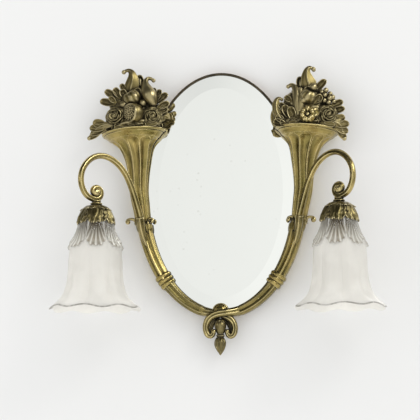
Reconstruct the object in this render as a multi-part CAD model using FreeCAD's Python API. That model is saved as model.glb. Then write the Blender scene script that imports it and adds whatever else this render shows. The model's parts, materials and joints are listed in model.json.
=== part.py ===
"""A wall mirror with two lamps: an oval bevelled glass held by a pair of cornucopia brackets.

Millimetres, +Z up, the front towards -Y and the wall at Y = 0. Every height below is measured
from the middle of the glass. The saved pieces are lowered so that the origin is the middle of
the hanging hole, in the plane of the wall. The right-hand pieces are drawn and the left-hand
ones are their mirror images, except at the knot, where one bracket crosses over the other.
"""
import FreeCAD
import Part
import math
import os

from FreeCAD import Vector

# ---------------------------------------------------------------- driving dimensions
# the oval glass and the tray that holds it
glass_half_width = 131.0
glass_half_height = 205.5
glass_thickness = 5.0
bevel_width = 25.0
bevel_drop = 2.5
packing_thickness = 1.0
board_thickness = 6.0
wall_space = 8.0            # from the wall to the back of the board
tray_wall = 1.2
tray_gap = 0.8              # between the glass and the tray's wall
tray_lip = 2.0              # how far the tray's front lip reaches in over the glass
lip_clearance = 0.3

# fits
seat_clearance = 0.3        # between two castings that sit on each other
running_clearance = 0.05    # radial, for what turns, slides or screws on a pin or sleeve
face_clearance = 0.1        # between a turning button and the back that it swings over

# the brackets: a horn above the leaf collar, a stem below it
bracket_outset = 4.5        # from the edge of the glass to the middle of the stem
stem_drop = 3.5             # the same, at the bottom of the oval
seat_step = 0.5             # the brackets' front halves lie this far in front of the glass
bulge_ratio = 0.95          # how far a casting bulges forwards, in half widths
mouth_tilt = 4.6            # degrees, the outer side of the mouth is the lower one
mouth_wall = 4.0
mouth_back_wall = 10.0
mouth_cavity = 20.0
collar_angle = 15.5         # degrees round the oval from its side, where horn and stem meet
collar_rise = 11.85         # how far the leaf collar reaches above that joint
collar_reach = 11.15        # and below it
collar_inset = 2.5          # from the middle of the stem's oval to the middle of the collar
collar_half_width = 13.2
collar_wall = 3.2
band_angle = 46.5           # the middle of the ribbed band
band_span = 7.4             # degrees of the oval that the band covers
band_wall = 3.0
stem_end_angle = 84.5
stem_half_width_top = 12.6
stem_half_width_band = 11.0
stem_half_width_low = 10.0
stem_half_width_slim = 8.6
stem_half_width_end = 5.2

# the knot at the bottom
eye_radius = 9.0
eye_drop = 2.5              # from the edge of the glass down to the middle of the eyes
eye_thickness = 7.6
boss_plate = 1.8            # the plate behind both eyes
eye_neck_radius = 3.5
knot_bolt_radius = 2.5
dome_radius = 14.0          # the boss that rises behind the crossing
dome_lift = 3.0             # from the middle of the eyes up to the middle of the boss
dome_rim = 5.0
dome_rise = 7.0
stud_cover = 1.5            # the metal left over the stud in the front eye
ribbon_radius = 3.7
ribbon_ball = 3.8

# the pendant under the knot
pendant_rod_radius = 2.0
berry_radius = 8.8
berry_drop = 10.5           # from the middle of the eyes down to the berry
berry_length = 25.0
pendant_collar_radius = 7.5
pendant_collar_height = 4.5
finial_radius = 10.0
finial_length = 30.5

# the arms and the lamps
arm_radius = 5.0
arm_bore = 3.0
arm_swing = 40.0            # degrees, each arm's flat scroll stands out from the wall by this
foot_inset = 1.5            # from the middle of the stem's oval to the arm's foot
foot_out = 23.5             # the foot's middle stands this far in front of the seat plane
socket_rise = 6.85          # from the joint in the collar up to the socket's mouth
foot_depth = 2.15           # from that joint down to the arm's end
wire_exit_depth = 6.15      # from that joint down to where the wire goes back through the bracket
socket_wall = 3.5
lamp_reach = 86.0           # from the arm's foot to the lamp's axis, along the scroll
volute_ball = 10.6
volute_reach = 82.8
volute_drop = 9.9           # from the scroll's own level down to the middle of its ball
neck_radius = 9.8
neck_drop = 27.0            # from the scroll's level down to the neck ring
neck_height = 8.0
nipple_radius = 5.0
nipple_bore = 3.3
nipple_grip = 4.0           # how far the nipple is screwed into the neck ring
canopy_radius = 32.0
canopy_wall = 1.8
canopy_height = 33.3
canopy_leaves = 8
holder_radius = 14.0
holder_wall = 1.5
canopy_nut_radius = 8.0
canopy_nut_height = 3.4
holder_length = 55.0
flange_width = 3.0
flange_thickness = 2.0
shade_drop = 20.0           # from the canopy's top to the top of the glass shade
shade_glass = 4.0
shade_mouth = 75.0
shade_length = 151.6
ring_width = 6.0
ring_height = 6.0
lamp_thread_radius = 7.0
thread_shell = 0.8
lamp_thread_length = 28.0

# wiring
wire_radius = 1.6
wire_passage = 2.4
wire_bend = 25.0
block_width = 26.0
block_height = 13.0
block_back = -1.0
block_recess = 3.0

# the hardware at the back
hanger_drop = 18.0          # from the horns' mouths down to the hanging hole
strap_half_height = 9.0
strap_thickness = 2.5
strap_overhang = 10.5       # from the middle of a mouth to the strap's end
bridge_half_length = 42.0
hanging_hole_radius = 5.0
hanging_slot_radius = 2.2
hanging_slot_rise = 12.0
screw_radius = 1.5
fruit_screw_radius = 2.0
fruit_screw_length = 28.0
screw_head = 3.2
screw_head_height = 1.6
screw_depth = 8.0
button_length = 24.0
button_width = 8.0
button_thickness = 1.6
ear_length = 10.0
ear_width = 12.0
bumper_radius = 5.0

# ---------------------------------------------------------------- places, worked out
back = -wall_space
board_front = back - board_thickness
packing_front = board_front - packing_thickness
glass_front = packing_front - glass_thickness
bevel_edge = glass_front + bevel_drop
lip_back = bevel_edge - lip_clearance
lip_front = lip_back - tray_wall
seat = glass_front - seat_step      # the plane that the brackets' front halves lie on
tray_half_width = glass_half_width + tray_gap + tray_wall
tray_half_height = glass_half_height + tray_gap + tray_wall
stem_half_x = glass_half_width + bracket_outset
stem_half_z = glass_half_height + stem_drop
holder_flange = holder_radius + flange_width
ring_radius = holder_radius + ring_width

# the horn, the arm and the lamp keep their places from the joint in the leaf collar
joint_height = -stem_half_z * math.sin(math.radians(collar_angle))
level = joint_height + 55.85        # the height that the horn and the scroll are drawn from
collar_x = stem_half_x - collar_inset
collar_top = joint_height + collar_rise
collar_bottom = joint_height - collar_reach
foot_x = stem_half_x - foot_inset
foot_y = seat - foot_out
socket_top = joint_height + socket_rise
foot_bottom = joint_height - foot_depth
wire_exit_height = joint_height - wire_exit_depth
volute_height = level - volute_drop
neck_top = level - neck_drop
neck_bottom = neck_top - neck_height
nipple_top = neck_bottom + nipple_grip
canopy_top = neck_bottom
shade_top = canopy_top - shade_drop
canopy_under = canopy_top - 2.0
holder_top = canopy_under - canopy_nut_height - 0.1
holder_bottom = holder_top - holder_length
ring_top = shade_top - shade_glass
eye_height = -glass_half_height - eye_drop
berry_top = eye_height - berry_drop
plate_back = seat - seat_clearance
plate_front = plate_back - boss_plate
rear_eye_back = plate_front - 0.1
rear_eye_front = rear_eye_back - eye_thickness
front_eye_back = rear_eye_front - seat_clearance
front_eye_front = front_eye_back - eye_thickness
front_loop_y = rear_eye_front + 0.3
rod_top = eye_height - eye_radius + 5.5
pendant_y = rear_eye_back - eye_thickness / 2
set_screw_height = foot_bottom + 3.0
lamp_x = foot_x + lamp_reach * math.cos(math.radians(arm_swing))
lamp_y = foot_y - lamp_reach * math.sin(math.radians(arm_swing))

# the horn's outline from the collar to the mouth: height above the level, distance out from the
# middle of the stem's oval, half width
horn_outline = [
    (-58.0, -2.9, 12.8),
    (-40.0, -1.2, 13.2),
    (-15.0, 2.8, 14.9),
    (2.0, 5.2, 15.7),
    (19.0, 5.8, 16.6),
    (36.0, 6.2, 18.4),
    (53.0, 6.9, 21.3),
    (70.0, 8.8, 25.8),
    (82.0, 10.8, 31.5),
    (91.0, 12.7, 40.5),
    (98.0, 13.7, 49.5),
    (103.0, 14.0, 54.3),
]
horn_outline = [(level + height, stem_half_x + out, half) for height, out, half in horn_outline]
mouth_height, mouth_x, mouth_half_width = horn_outline[-1]
tilt_start = horn_outline[5][0]     # from here up the levels tilt towards the mouth
hanger_height = mouth_height - hanger_drop
strap_half_length = mouth_x + strap_overhang

# the arm's scroll in its own plane: distance out from the foot, height above the level
arm_route = [
    (0.0, -47.5),
    (6.5, -29.0),
    (13.6, -9.0),
    (21.5, 10.0),
    (32.0, 27.5),
    (46.5, 41.5),
    (66.0, 50.5),
    (86.0, 50.0),
    (103.0, 39.5),
    (114.0, 23.0),
    (116.0, 4.0),
    (109.5, -11.5),
    (97.0, -22.0),
    (82.5, -24.6),
    (70.5, -18.5),
]
arm_route = [(0.0, foot_bottom)] + [(reach, level + height) for reach, height in arm_route]
arm_bottom_height = arm_route[-2][1]

# the shade's outline below its shoulder: radius, depth below the shade's top
shade_outline = [
    (20.0, 0.0),
    (25.5, 3.0),
    (28.0, 9.0),
    (30.3, 20.0),
    (34.5, 31.0),
    (39.5, 43.0),
    (42.6, 55.0),
    (44.0, 72.0),
    (44.6, 90.0),
    (47.5, 113.0),
    (53.3, 129.0),
    (60.5, 138.0),
    (68.5, 145.5),
    (shade_mouth, shade_length),
]

made = []


# ---------------------------------------------------------------- drawing helpers
def save(name, shape):
    """Lower the piece to the hanging hole's origin and write it."""
    placed = shape.copy()
    placed.translate(Vector(0, 0, -hanger_height))
    placed.exportStep("parts/" + name + ".step")
    made.append(name)
    solids = len(placed.Solids)
    state = "ok" if placed.isValid() else "NOT VALID"
    print(f"{name:28s} {solids:2d} solid(s) {placed.Volume:12.1f} mm3  {state}")


def mirrored(shape):
    """The same piece on the other side of the middle."""
    return shape.mirror(Vector(0, 0, 0), Vector(1, 0, 0))


def save_pair(name, shape):
    """The right-hand piece and its mirror image on the left."""
    save("right_" + name, shape)
    save("left_" + name, mirrored(shape))


def both_sides(shapes):
    """A group of right-hand solids together with their mirror images."""
    return Part.makeCompound(shapes + [mirrored(shape) for shape in shapes])


def block(x_low, x_high, y_low, y_high, z_low, z_high):
    size = Vector(x_high - x_low, y_high - y_low, z_high - z_low)
    return Part.makeBox(size.x, size.y, size.z, Vector(x_low, y_low, z_low))


def upright(radius, x, y, z_low, z_high):
    """A round bar along Z."""
    return Part.makeCylinder(radius, z_high - z_low, Vector(x, y, z_low), Vector(0, 0, 1))


def forward(radius, x, z, y_back, y_front):
    """A round bar along Y, from the back towards the front."""
    return Part.makeCylinder(radius, y_back - y_front, Vector(x, y_back, z), Vector(0, -1, 0))


def oval_wire(half_x, half_z, y):
    middle = Vector(0, y, 0)
    top = Vector(0, y, half_z)
    side = Vector(half_x, y, 0)
    far, near = (top, side) if half_z > half_x else (side, top)
    return Part.Wire(Part.Ellipse(far, near, middle).toShape())


def oval_plate(half_x, half_z, y_back, y_front):
    face = Part.Face(oval_wire(half_x, half_z, y_back))
    return face.extrude(Vector(0, y_front - y_back, 0))


def d_section(middle, across, half_width, y_back, grow=0.0):
    """A casting's section: straight sides up to the seat plane, then a round front."""
    wide = half_width + grow
    rise = half_width * bulge_ratio + grow
    left = middle - across * wide
    right = middle + across * wide
    corners = [Vector(p.x, y, p.z) for p, y in ((left, y_back), (left, seat), (right, seat), (right, y_back))]
    crown = Vector(middle.x, seat - rise, middle.z)
    return Part.Wire([
        Part.makeLine(corners[0], corners[1]),
        Part.Arc(corners[1], crown, corners[2]).toShape(),
        Part.makeLine(corners[2], corners[3]),
        Part.makeLine(corners[3], corners[0]),
    ])


def smooth_path(points, largest_radius=math.inf):
    """Straight runs joined by the largest tangent arcs that their lengths and the limit allow."""
    edges = []
    start = points[0]
    for before, corner, after in zip(points, points[1:], points[2:]):
        towards = before - corner
        onward = after - corner
        half_turn = (math.pi - towards.getAngle(onward)) / 2
        radius = min(0.48 * min(towards.Length, onward.Length) / math.tan(half_turn), largest_radius)
        reach = radius * math.tan(half_turn)
        towards.normalize()
        onward.normalize()
        inward = towards + onward
        inward.normalize()
        arc_start = corner + towards * reach
        arc_end = corner + onward * reach
        arc_middle = corner + inward * (radius / math.cos(half_turn) - radius)
        edges.append(Part.makeLine(start, arc_start))
        edges.append(Part.Arc(arc_start, arc_middle, arc_end).toShape())
        start = arc_end
    edges.append(Part.makeLine(start, points[-1]))
    return Part.Wire(edges)


def round_bar(points, radius, largest_radius=math.inf):
    """A bar of round section along a smooth path."""
    path = smooth_path(points, largest_radius)
    ring = Part.Wire(Part.makeCircle(radius, points[0], points[1] - points[0]))
    return path.makePipeShell([ring], True, False)


def turned(outline, x, y):
    """A solid turned about an upright axis, from its outline's (radius, height) corners."""
    corners = [Vector(x + radius, y, height) for radius, height in outline]
    face = Part.Face(Part.makePolygon(corners + corners[:1]))
    return face.revolve(Vector(x, y, 0), Vector(0, 0, 1), 360)


def tube(outer, inner, x, y, z_low, z_high):
    return upright(outer, x, y, z_low, z_high).cut(upright(inner, x, y, z_low, z_high))


def ball(radius, x, y, z):
    return Part.makeSphere(radius, Vector(x, y, z))


def egg(radius, half_height, place, lean=0.0):
    """An egg-shaped fruit in the mouth, leaning towards +X by some degrees."""
    outline = []
    for step in range(-4, 5):
        turn = math.radians(step * 21.5)
        outline.append(Vector(radius * math.cos(turn), 0, -half_height * math.sin(turn)))
    curve = Part.BSplineCurve()
    curve.interpolate(outline)
    top = Vector(0, 0, outline[0].z)
    bottom = Vector(0, 0, outline[-1].z)
    wire = Part.Wire([
        Part.makeLine(top, outline[0]),
        curve.toShape(),
        Part.makeLine(outline[-1], bottom),
        Part.makeLine(bottom, top),
    ])
    fruit = Part.Face(wire).revolve(Vector(0, 0, 0), Vector(0, 0, 1), 360)
    return placed_piece(fruit, place, lean)


def leaf(half_width, half_height, half_thickness, place, lean=0.0):
    """A flat oval leaf that faces the front, leaning towards +X by some degrees."""
    outline = oval_wire(half_width, half_height, half_thickness)
    slab = Part.Face(outline).extrude(Vector(0, -2 * half_thickness, 0))
    return placed_piece(slab, place, lean)


def placed_piece(shape, place, lean):
    shape.rotate(Vector(0, 0, 0), Vector(0, 1, 0), lean)
    shape.translate(Vector(mouth_x, seat, mouth_height) + Vector(*place))
    return shape


def oval_point(angle):
    """A point on the stem's middle line, degrees below the side of the oval, and its outward way."""
    turn = math.radians(angle)
    point = Vector(stem_half_x * math.cos(turn), 0, -stem_half_z * math.sin(turn))
    outward = Vector(math.cos(turn) / stem_half_x, 0, -math.sin(turn) / stem_half_z)
    outward.normalize()
    return point, outward


def fused(first, others):
    return first.fuse(others).removeSplitter()


# ---------------------------------------------------------------- the glass and its tray
def mirror_glass():
    """A flat plate whose front edge is ground to a wide bevel."""
    plate = oval_plate(glass_half_width, glass_half_height, packing_front, bevel_edge)
    rim = oval_wire(glass_half_width, glass_half_height, bevel_edge)
    field = oval_wire(glass_half_width - bevel_width, glass_half_height - bevel_width, glass_front)
    return fused(plate, [Part.makeLoft([rim, field], True, True)])


def tray():
    """A sheet-brass rim round the glass, with a narrow lip in front and six ears at the back."""
    outer = oval_plate(tray_half_width, tray_half_height, back, lip_front)
    inside = oval_plate(tray_half_width - tray_wall, tray_half_height - tray_wall, back, lip_back)
    window = oval_plate(glass_half_width - tray_lip, glass_half_height - tray_lip, back, lip_front)
    rim = outer.cut([inside, window])
    ears = [ear for angle in ear_angles for ear in tray_ear(angle)]
    return fused(rim, ears).cut([screw_hole(x, z) for x, z in ear_places()])


ear_angles = (-8.0, 32.0, 70.0)


def tray_edge(angle):
    """A point on the tray's outer edge, degrees below the side of the oval, and its outward way."""
    turn = math.radians(angle)
    point = Vector(tray_half_width * math.cos(turn), 0, -tray_half_height * math.sin(turn))
    outward = Vector(math.cos(turn) / tray_half_width, 0, -math.sin(turn) / tray_half_height)
    outward.normalize()
    return point, outward


def plate_along(point, outward, inner, outer, width, y_back, y_front):
    """A flat plate that points outwards from a point on the rim."""
    along = Vector(-outward.z, 0, outward.x)
    corners = [
        point + outward * inner - along * (width / 2),
        point + outward * outer - along * (width / 2),
        point + outward * outer + along * (width / 2),
        point + outward * inner + along * (width / 2),
    ]
    corners = [Vector(corner.x, y_back, corner.z) for corner in corners]
    face = Part.Face(Part.makePolygon(corners + corners[:1]))
    return face.extrude(Vector(0, y_front - y_back, 0))


def tray_ear(angle):
    point, outward = tray_edge(angle)
    ear = plate_along(point, outward, -tray_wall / 2, ear_length, ear_width, back + tray_wall, back)
    return [ear, mirrored(ear)]


def ear_places():
    """The ear screws' places on both sides."""
    places = []
    for angle in ear_angles:
        point, outward = tray_edge(angle)
        centre = point + outward * (ear_length / 2)
        places.append((centre.x, centre.z))
        places.append((-centre.x, centre.z))
    return places


def screw_hole(x, z, depth=screw_depth):
    """The hole for one of the small screws, from the wall side into a casting."""
    return forward(screw_radius + 0.1, x, z, 0.0, back - depth)


def round_head_screw(x, z, head_seat, depth=screw_depth):
    """A small screw driven in from the back, its head on the seat."""
    shank = forward(screw_radius, x, z, head_seat, back - depth + 1.0)
    head = forward(screw_head, x, z, head_seat + screw_head_height, head_seat)
    slot = block(x - screw_head, x + screw_head, head_seat + 1.0, head_seat + 2.0, z - 0.4, z + 0.4)
    return fused(head, [shank]).cut(slot)


# ---------------------------------------------------------------- places at the back
def rim_place(angle, outset):
    point, outward = tray_edge(angle)
    centre = point + outward * outset
    return centre.x, centre.z


button_angles = (-15.5, 54.0)
button_outset = 5.6
button_names = ("upper", "lower")
strap_screw_xs = (mouth_x - 15.5, mouth_x + 0.5)
bumper_places = [(mouth_x + 18.5, mouth_height - 15.0), rim_place(62.0, 5.4)]
fruit_screw_place = (mouth_x, mouth_height - 5.0)


def back_holes():
    """Every hole that the small screws need in the right-hand castings."""
    holes = [screw_hole(x, z) for x, z in ear_places() if x > 0]
    holes += [screw_hole(*rim_place(angle, button_outset)) for angle in button_angles]
    holes += [screw_hole(x, hanger_height) for x in strap_screw_xs]
    holes += [screw_hole(x, z) for x, z in bumper_places]
    return holes


# ---------------------------------------------------------------- the brackets
def glass_rebate(wall=0.0):
    """The room that the tray takes out of each casting's back, or with a wall round that room."""
    grow = seat_clearance + wall
    return oval_plate(tray_half_width + grow, tray_half_height + grow, 1.0, seat - wall)


def trim_back(shape):
    """Cut a casting's back flat and clear the tray."""
    behind = block(0, 400, back, 40, -400, 400)
    return shape.cut([behind, glass_rebate()])


def horn_section(height, middle, half_width, y_back, grow=0.0):
    """One level of the horn; the levels tilt more and more towards the mouth."""
    share = max(0.0, (height - tilt_start) / (mouth_height - tilt_start))
    wire = d_section(Vector(middle, 0, height), Vector(1, 0, 0), half_width, y_back, grow)
    wire.rotate(Vector(middle, 0, height), Vector(0, 1, 0), mouth_tilt * share)
    return wire


def horn_blank(grow=0.0):
    levels = [horn_section(z, x, half, back + 4.0, grow) for z, x, half in horn_outline]
    return Part.makeLoft(levels, True, False)


def mouth_room(gap=0.0):
    """The hollow of the mouth, or with a gap the plug that sits in it."""
    levels = []
    for z, x, half in horn_outline:
        if z >= mouth_height - mouth_cavity - 1.5:
            levels.append(horn_section(z + gap, x, half - mouth_wall - gap, back - mouth_back_wall - gap))
    room = Part.makeLoft(levels, True, True)
    if gap == 0.0:
        top = horn_section(mouth_height, mouth_x, mouth_half_width - mouth_wall, back - mouth_back_wall)
        room = room.fuse(Part.Face(top).extrude(Vector(0, 0, 2.0)))
    return room.cut(glass_rebate(mouth_wall + gap))


def horn(arm_bore_cuts):
    body = horn_blank()
    low = block(0, 400, -200, 100, -400, joint_height)
    screw = forward(fruit_screw_radius + 0.2, *fruit_screw_place, 0.0, back - mouth_back_wall - 1.0)
    return trim_back(body.cut([low, mouth_room(), screw])).cut(back_holes() + arm_bore_cuts)


def stem_width(angle):
    """The stem's half width, by straight shares between its named sizes."""
    stations = (
        (collar_angle - 4.0, stem_half_width_top),
        (band_angle, stem_half_width_band),
        (band_angle + 6.0, stem_half_width_low),
        (75.0, stem_half_width_slim),
        (stem_end_angle, stem_half_width_end),
    )
    for (angle_a, half_a), (angle_b, half_b) in zip(stations, stations[1:]):
        if angle <= angle_b:
            return half_a + (half_b - half_a) * (angle - angle_a) / (angle_b - angle_a)
    return stem_half_width_end


def stem_blank(first_angle, last_angle, steps, grow=0.0):
    levels = []
    for step in range(steps + 1):
        angle = first_angle + (last_angle - first_angle) * step / steps
        point, outward = oval_point(angle)
        levels.append(d_section(point, outward, stem_width(angle), back + 4.0, grow))
    return Part.makeLoft(levels, True, False)


def upper_stem(arm_bore_cuts):
    body = stem_blank(collar_angle - 4.0, band_angle, 5)
    above = block(0, 400, -200, 100, joint_height, 400)
    return trim_back(body.cut(above)).cut(back_holes() + arm_bore_cuts)


def sleeve_sections(angles, wall):
    """Sections of a sleeve that fits over the stem at the given angles."""
    sections = []
    for angle in angles:
        point, outward = oval_point(angle)
        half = stem_width(angle) + seat_clearance
        sections.append(d_section(point, outward, half, back + 4.0, wall))
    return sections


def stem_band():
    """Three rounded ribs that bind the joint of the upper and the lower stem."""
    ribs = 3
    start = band_angle - band_span / 2
    pitch = band_span / ribs
    grooves = sleeve_sections((start, band_angle, start + band_span), band_wall - 1.6)
    solid = Part.makeLoft(grooves, True, False)
    for rib in range(ribs):
        first = start + rib * pitch
        angles = [first + pitch * share for share in (0.08, 0.3, 0.7, 0.92)]
        sections = []
        for angle, wall in zip(angles, (band_wall - 1.4, band_wall, band_wall, band_wall - 1.4)):
            sections += sleeve_sections((angle,), wall)
        solid = solid.fuse(Part.makeLoft(sections, True, True))
    core = stem_blank(start - 3.0, start + band_span + 3.0, 4, seat_clearance)
    return trim_back(solid.cut(core))


def leaf_collar(wire_cut):
    """A leafy cuff over the joint of horn and stem, with the arm's socket in front."""
    levels = []
    walls = (
        (collar_bottom, collar_wall / 2),
        (collar_bottom + 6.0, collar_wall),
        (collar_top, collar_wall * 1.25),
    )
    for height, wall in walls:
        middle = Vector(collar_x, 0, height)
        levels.append(d_section(middle, Vector(1, 0, 0), collar_half_width, back + 4.0, wall))
    cuff = Part.makeLoft(levels, True, False)
    socket_radius = arm_radius + socket_wall
    socket = upright(socket_radius, foot_x, foot_y, collar_bottom, socket_top)
    point_tip = Vector(foot_x, foot_y, collar_bottom - 9.0)
    point = Part.makeCone(3.0, socket_radius, 9.0, point_tip, Vector(0, 0, 1))
    tips = []
    for side, tip_rise in ((1, 16.5), (-1, 20.5)):
        root = leaf_section(foot_x + side * 12.0, seat - 10.5, collar_bottom + 10.0, 7.0, 3.0)
        bend = leaf_section(foot_x + side * 18.0, seat - 9.5, collar_bottom + 14.0, 6.0, 2.5)
        tip = leaf_section(foot_x + side * 24.5, seat - 7.5, collar_bottom + tip_rise, 3.0, 1.5)
        tips.append(Part.makeLoft([root, bend, tip], True, False))
    solid = fused(cuff, [socket, point] + tips)
    stem_room = stem_blank(collar_angle - 4.0, band_angle - 10.0, 4, seat_clearance)
    inside = [horn_blank(seat_clearance), stem_room]
    hole = round_bar(arm_points()[:5], arm_radius + running_clearance)
    screw = forward(screw_radius + 0.1, foot_x, set_screw_height, foot_y, -80.0)
    return trim_back(solid.cut(inside + [hole, screw, wire_cut]))


def leaf_section(x, y, z, half_depth, half_thickness):
    """A small upright section of a curled leaf tip, lens-shaped."""
    front = Vector(x, y - half_depth, z)
    rear = Vector(x, y + half_depth, z)
    return Part.Wire([
        Part.Arc(front, Vector(x, y, z + half_thickness), rear).toShape(),
        Part.Arc(rear, Vector(x, y, z - half_thickness), front).toShape(),
    ])


def ribbon_points(y_start, y_loop):
    """The route of a bracket's curled end: out of its eye, round a loop, to its ball."""
    return [
        Vector(-2.0, y_start, eye_height - 1.5),
        Vector(-9.0, y_start, eye_height - 6.0),
        Vector(-19.5, y_start + (y_loop - y_start) * 0.4, eye_height - 12.0),
        Vector(-26.5, y_loop, eye_height - 22.0),
        Vector(-27.0, y_loop, eye_height - 31.5),
        Vector(-22.5, y_loop, eye_height - 39.0),
        Vector(-15.0, y_loop, eye_height - 40.0),
        Vector(-13.0, y_loop, eye_height - 34.0),
    ]


def ribbon(y_start, y_loop, radius):
    return round_bar(ribbon_points(y_start, y_loop), radius)


def eye_neck(y_eye, grow=0.0):
    """The bar that carries a stem's end forwards to its eye."""
    end, outward = oval_point(stem_end_angle)
    root, outward = oval_point(stem_end_angle - 7.0)
    route = [
        Vector(root.x, seat, root.z),
        Vector(end.x + 2.0, y_eye, end.z),
        Vector(3.0, y_eye, eye_height),
    ]
    return round_bar(route, eye_neck_radius + grow)


def lower_stem(in_front, other_ribbon):
    """The stem from the band to its eye at the knot, with the curled ribbon end."""
    body = stem_blank(band_angle, stem_end_angle, 6)
    eye_back = front_eye_back if in_front else rear_eye_back
    eye = forward(eye_radius, 0.0, eye_height, eye_back, eye_back - eye_thickness)
    y_start = eye_back - eye_thickness / 2
    neck = eye_neck(y_start)
    y_loop = front_loop_y if in_front else y_start
    curl = ribbon(y_start, y_loop, ribbon_radius)
    knob = ball(ribbon_ball, -13.6, y_loop, eye_height - 31.0)
    solid = fused(trim_back(body.fuse(neck)), [eye, curl, knob])
    stud_end = front_eye_front + stud_cover - 0.2
    holes = [forward(knot_bolt_radius + running_clearance, 0.0, eye_height, 0.0, stud_end)]
    if not in_front:
        rod_hole = pendant_rod_radius + running_clearance
        holes.append(upright(rod_hole, 0.0, pendant_y, eye_height - 20.0, rod_top))
    return solid.cut(holes + back_holes() + [other_ribbon])


def knot_dome():
    """A round boss that rises behind the crossing, on a plate that lies behind both eyes."""
    middle = eye_height + dome_lift
    rim = forward(dome_radius, 0.0, middle, plate_back, plate_front - dome_rim)
    sphere_radius = (dome_radius ** 2 + dome_rise ** 2) / (2 * dome_rise)
    front = plate_front - dome_rim
    centre = Vector(0.0, front + sphere_radius - dome_rise, middle)
    cap = Part.makeSphere(sphere_radius, centre).common(
        forward(dome_radius, 0.0, middle, front, front - dome_rise - 1.0))
    below = block(-40, 40, -100, plate_front, -400, eye_height + 2.0)
    low = block(-40, 40, -100, 0, -400, eye_height - eye_radius)
    eyes = forward(eye_radius + seat_clearance, 0.0, eye_height, plate_front, -80.0)
    crossing = [below, low, eyes]
    for y_eye in (front_eye_back - eye_thickness / 2, pendant_y):
        neck = eye_neck(y_eye, seat_clearance)
        crossing += [neck, mirrored(neck)]
    stem_end = stem_blank(stem_end_angle - 10.0, stem_end_angle + 1.0, 4, seat_clearance)
    crossing += [stem_end, mirrored(stem_end)]
    stud = forward(knot_bolt_radius + running_clearance, 0.0, eye_height, 0.0, -80.0)
    return fused(rim, [cap]).cut(crossing + [stud])


def knot_bolt():
    """The stud that holds the boss's plate and both eyes; it ends inside the front eye."""
    return forward(knot_bolt_radius, 0.0, eye_height, plate_back, front_eye_front + stud_cover)


# ---------------------------------------------------------------- the pendant
def curved_turning(outline, x, y, bore):
    """A turned piece whose outline runs smoothly through its (radius, height) points."""
    points = [Vector(x + radius, y, height) for radius, height in outline]
    curve = Part.BSplineCurve()
    curve.interpolate(points)
    top = Vector(x + bore, y, outline[0][1])
    bottom = Vector(x + bore, y, outline[-1][1])
    wire = Part.Wire([
        Part.makeLine(top, points[0]),
        curve.toShape(),
        Part.makeLine(points[-1], bottom),
        Part.makeLine(bottom, top),
    ])
    return Part.Face(wire).revolve(Vector(x, y, 0), Vector(0, 0, 1), 360)


def centre_berry():
    bottom = berry_top - berry_length
    outline = [
        (3.5, berry_top),
        (7.2, berry_top - 0.18 * berry_length),
        (berry_radius, berry_top - 0.45 * berry_length),
        (7.4, berry_top - 0.78 * berry_length),
        (5.0, bottom),
    ]
    return curved_turning(outline, 0.0, pendant_y, pendant_rod_radius + 0.05)


def pendant_collar():
    top = berry_top - berry_length - 0.1
    middle = top - pendant_collar_height / 2
    outline = [
        (6.5, top),
        (pendant_collar_radius, middle),
        (6.5, top - pendant_collar_height),
    ]
    return curved_turning(outline, 0.0, pendant_y, pendant_rod_radius + 0.05)


def finial_bud():
    """The hanging bud; its blind hole takes the pendant's rod."""
    top = berry_top - berry_length - pendant_collar_height - 0.2
    tip = top - finial_length
    outline = [
        (6.0, top),
        (finial_radius, top - 0.36 * finial_length),
        (7.6, top - 0.62 * finial_length),
        (3.2, top - 0.86 * finial_length),
        (0.6, tip),
    ]
    bud = curved_turning(outline, 0.0, pendant_y, 0.0)
    return bud.cut(upright(pendant_rod_radius, 0.0, pendant_y, top - 10.0, top + 1.0))


def pendant_rod():
    low = berry_top - berry_length - pendant_collar_height - 9.8
    return upright(pendant_rod_radius, 0.0, pendant_y, low, rod_top - 0.2)


# ---------------------------------------------------------------- fruit in the mouths
# the heap: each fruit's radius, half height, place and lean; the places are counted from the
# middle of the mouth, and forwards from the seat plane
fruits = [
    (24.0, 46.0, (0.0, -22.5, 8.0), 94.0),
    (28.0, 38.0, (0.5, -23.5, 33.0), 0.0),
    (16.0, 16.0, (-2.5, -39.5, 30.0), 0.0),
    (17.0, 17.0, (30.5, -33.5, 29.0), 0.0),
    (15.0, 15.0, (-32.5, -32.5, 28.0), 0.0),
    (9.0, 18.0, (-12.5, -23.5, 73.0), 0.0),
    (13.0, 15.0, (33.5, -25.5, 54.0), 20.0),
]
# each leaf's half width, half height, half thickness, place and lean
leaves = [
    (18.5, 27.0, 6.0, (8.5, -21.5, 82.0), 8.0),
    (9.0, 22.0, 6.0, (-29.5, -22.5, 61.0), 10.0),
    (15.0, 9.0, 6.0, (-45.5, -23.5, 43.0), -35.0),
    (23.0, 12.0, 7.0, (54.5, -21.5, 1.0), 35.0),
]


def fruit_cluster():
    """One casting: a plug that fills the horn's mouth and the heap that stands on it."""
    plug = mouth_room(seat_clearance)
    heap = [egg(*sizes) for sizes in fruits] + [leaf(*sizes) for sizes in leaves]
    heap = heap[0].fuse(heap[1:])
    rim_room = horn_blank(seat_clearance)
    rim_room.translate(Vector(0, 0, seat_clearance / 2))
    behind = block(0, 400, back, 40, -400, 400)
    heap = heap.cut([rim_room, behind, glass_rebate()])
    hole_radius = fruit_screw_radius + running_clearance
    return fused(plug, [heap]).cut(forward(hole_radius, *fruit_screw_place, 0.0, back - fruit_screw_length))


# ---------------------------------------------------------------- the arms and lamps
def arm_place(reach, height):
    """A point of the scroll's own plane in the whole object's frame."""
    swing = math.radians(arm_swing)
    return Vector(foot_x + reach * math.cos(swing), foot_y - reach * math.sin(swing), height)


def arm_points():
    return [arm_place(reach, height) for reach, height in arm_route]


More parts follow.
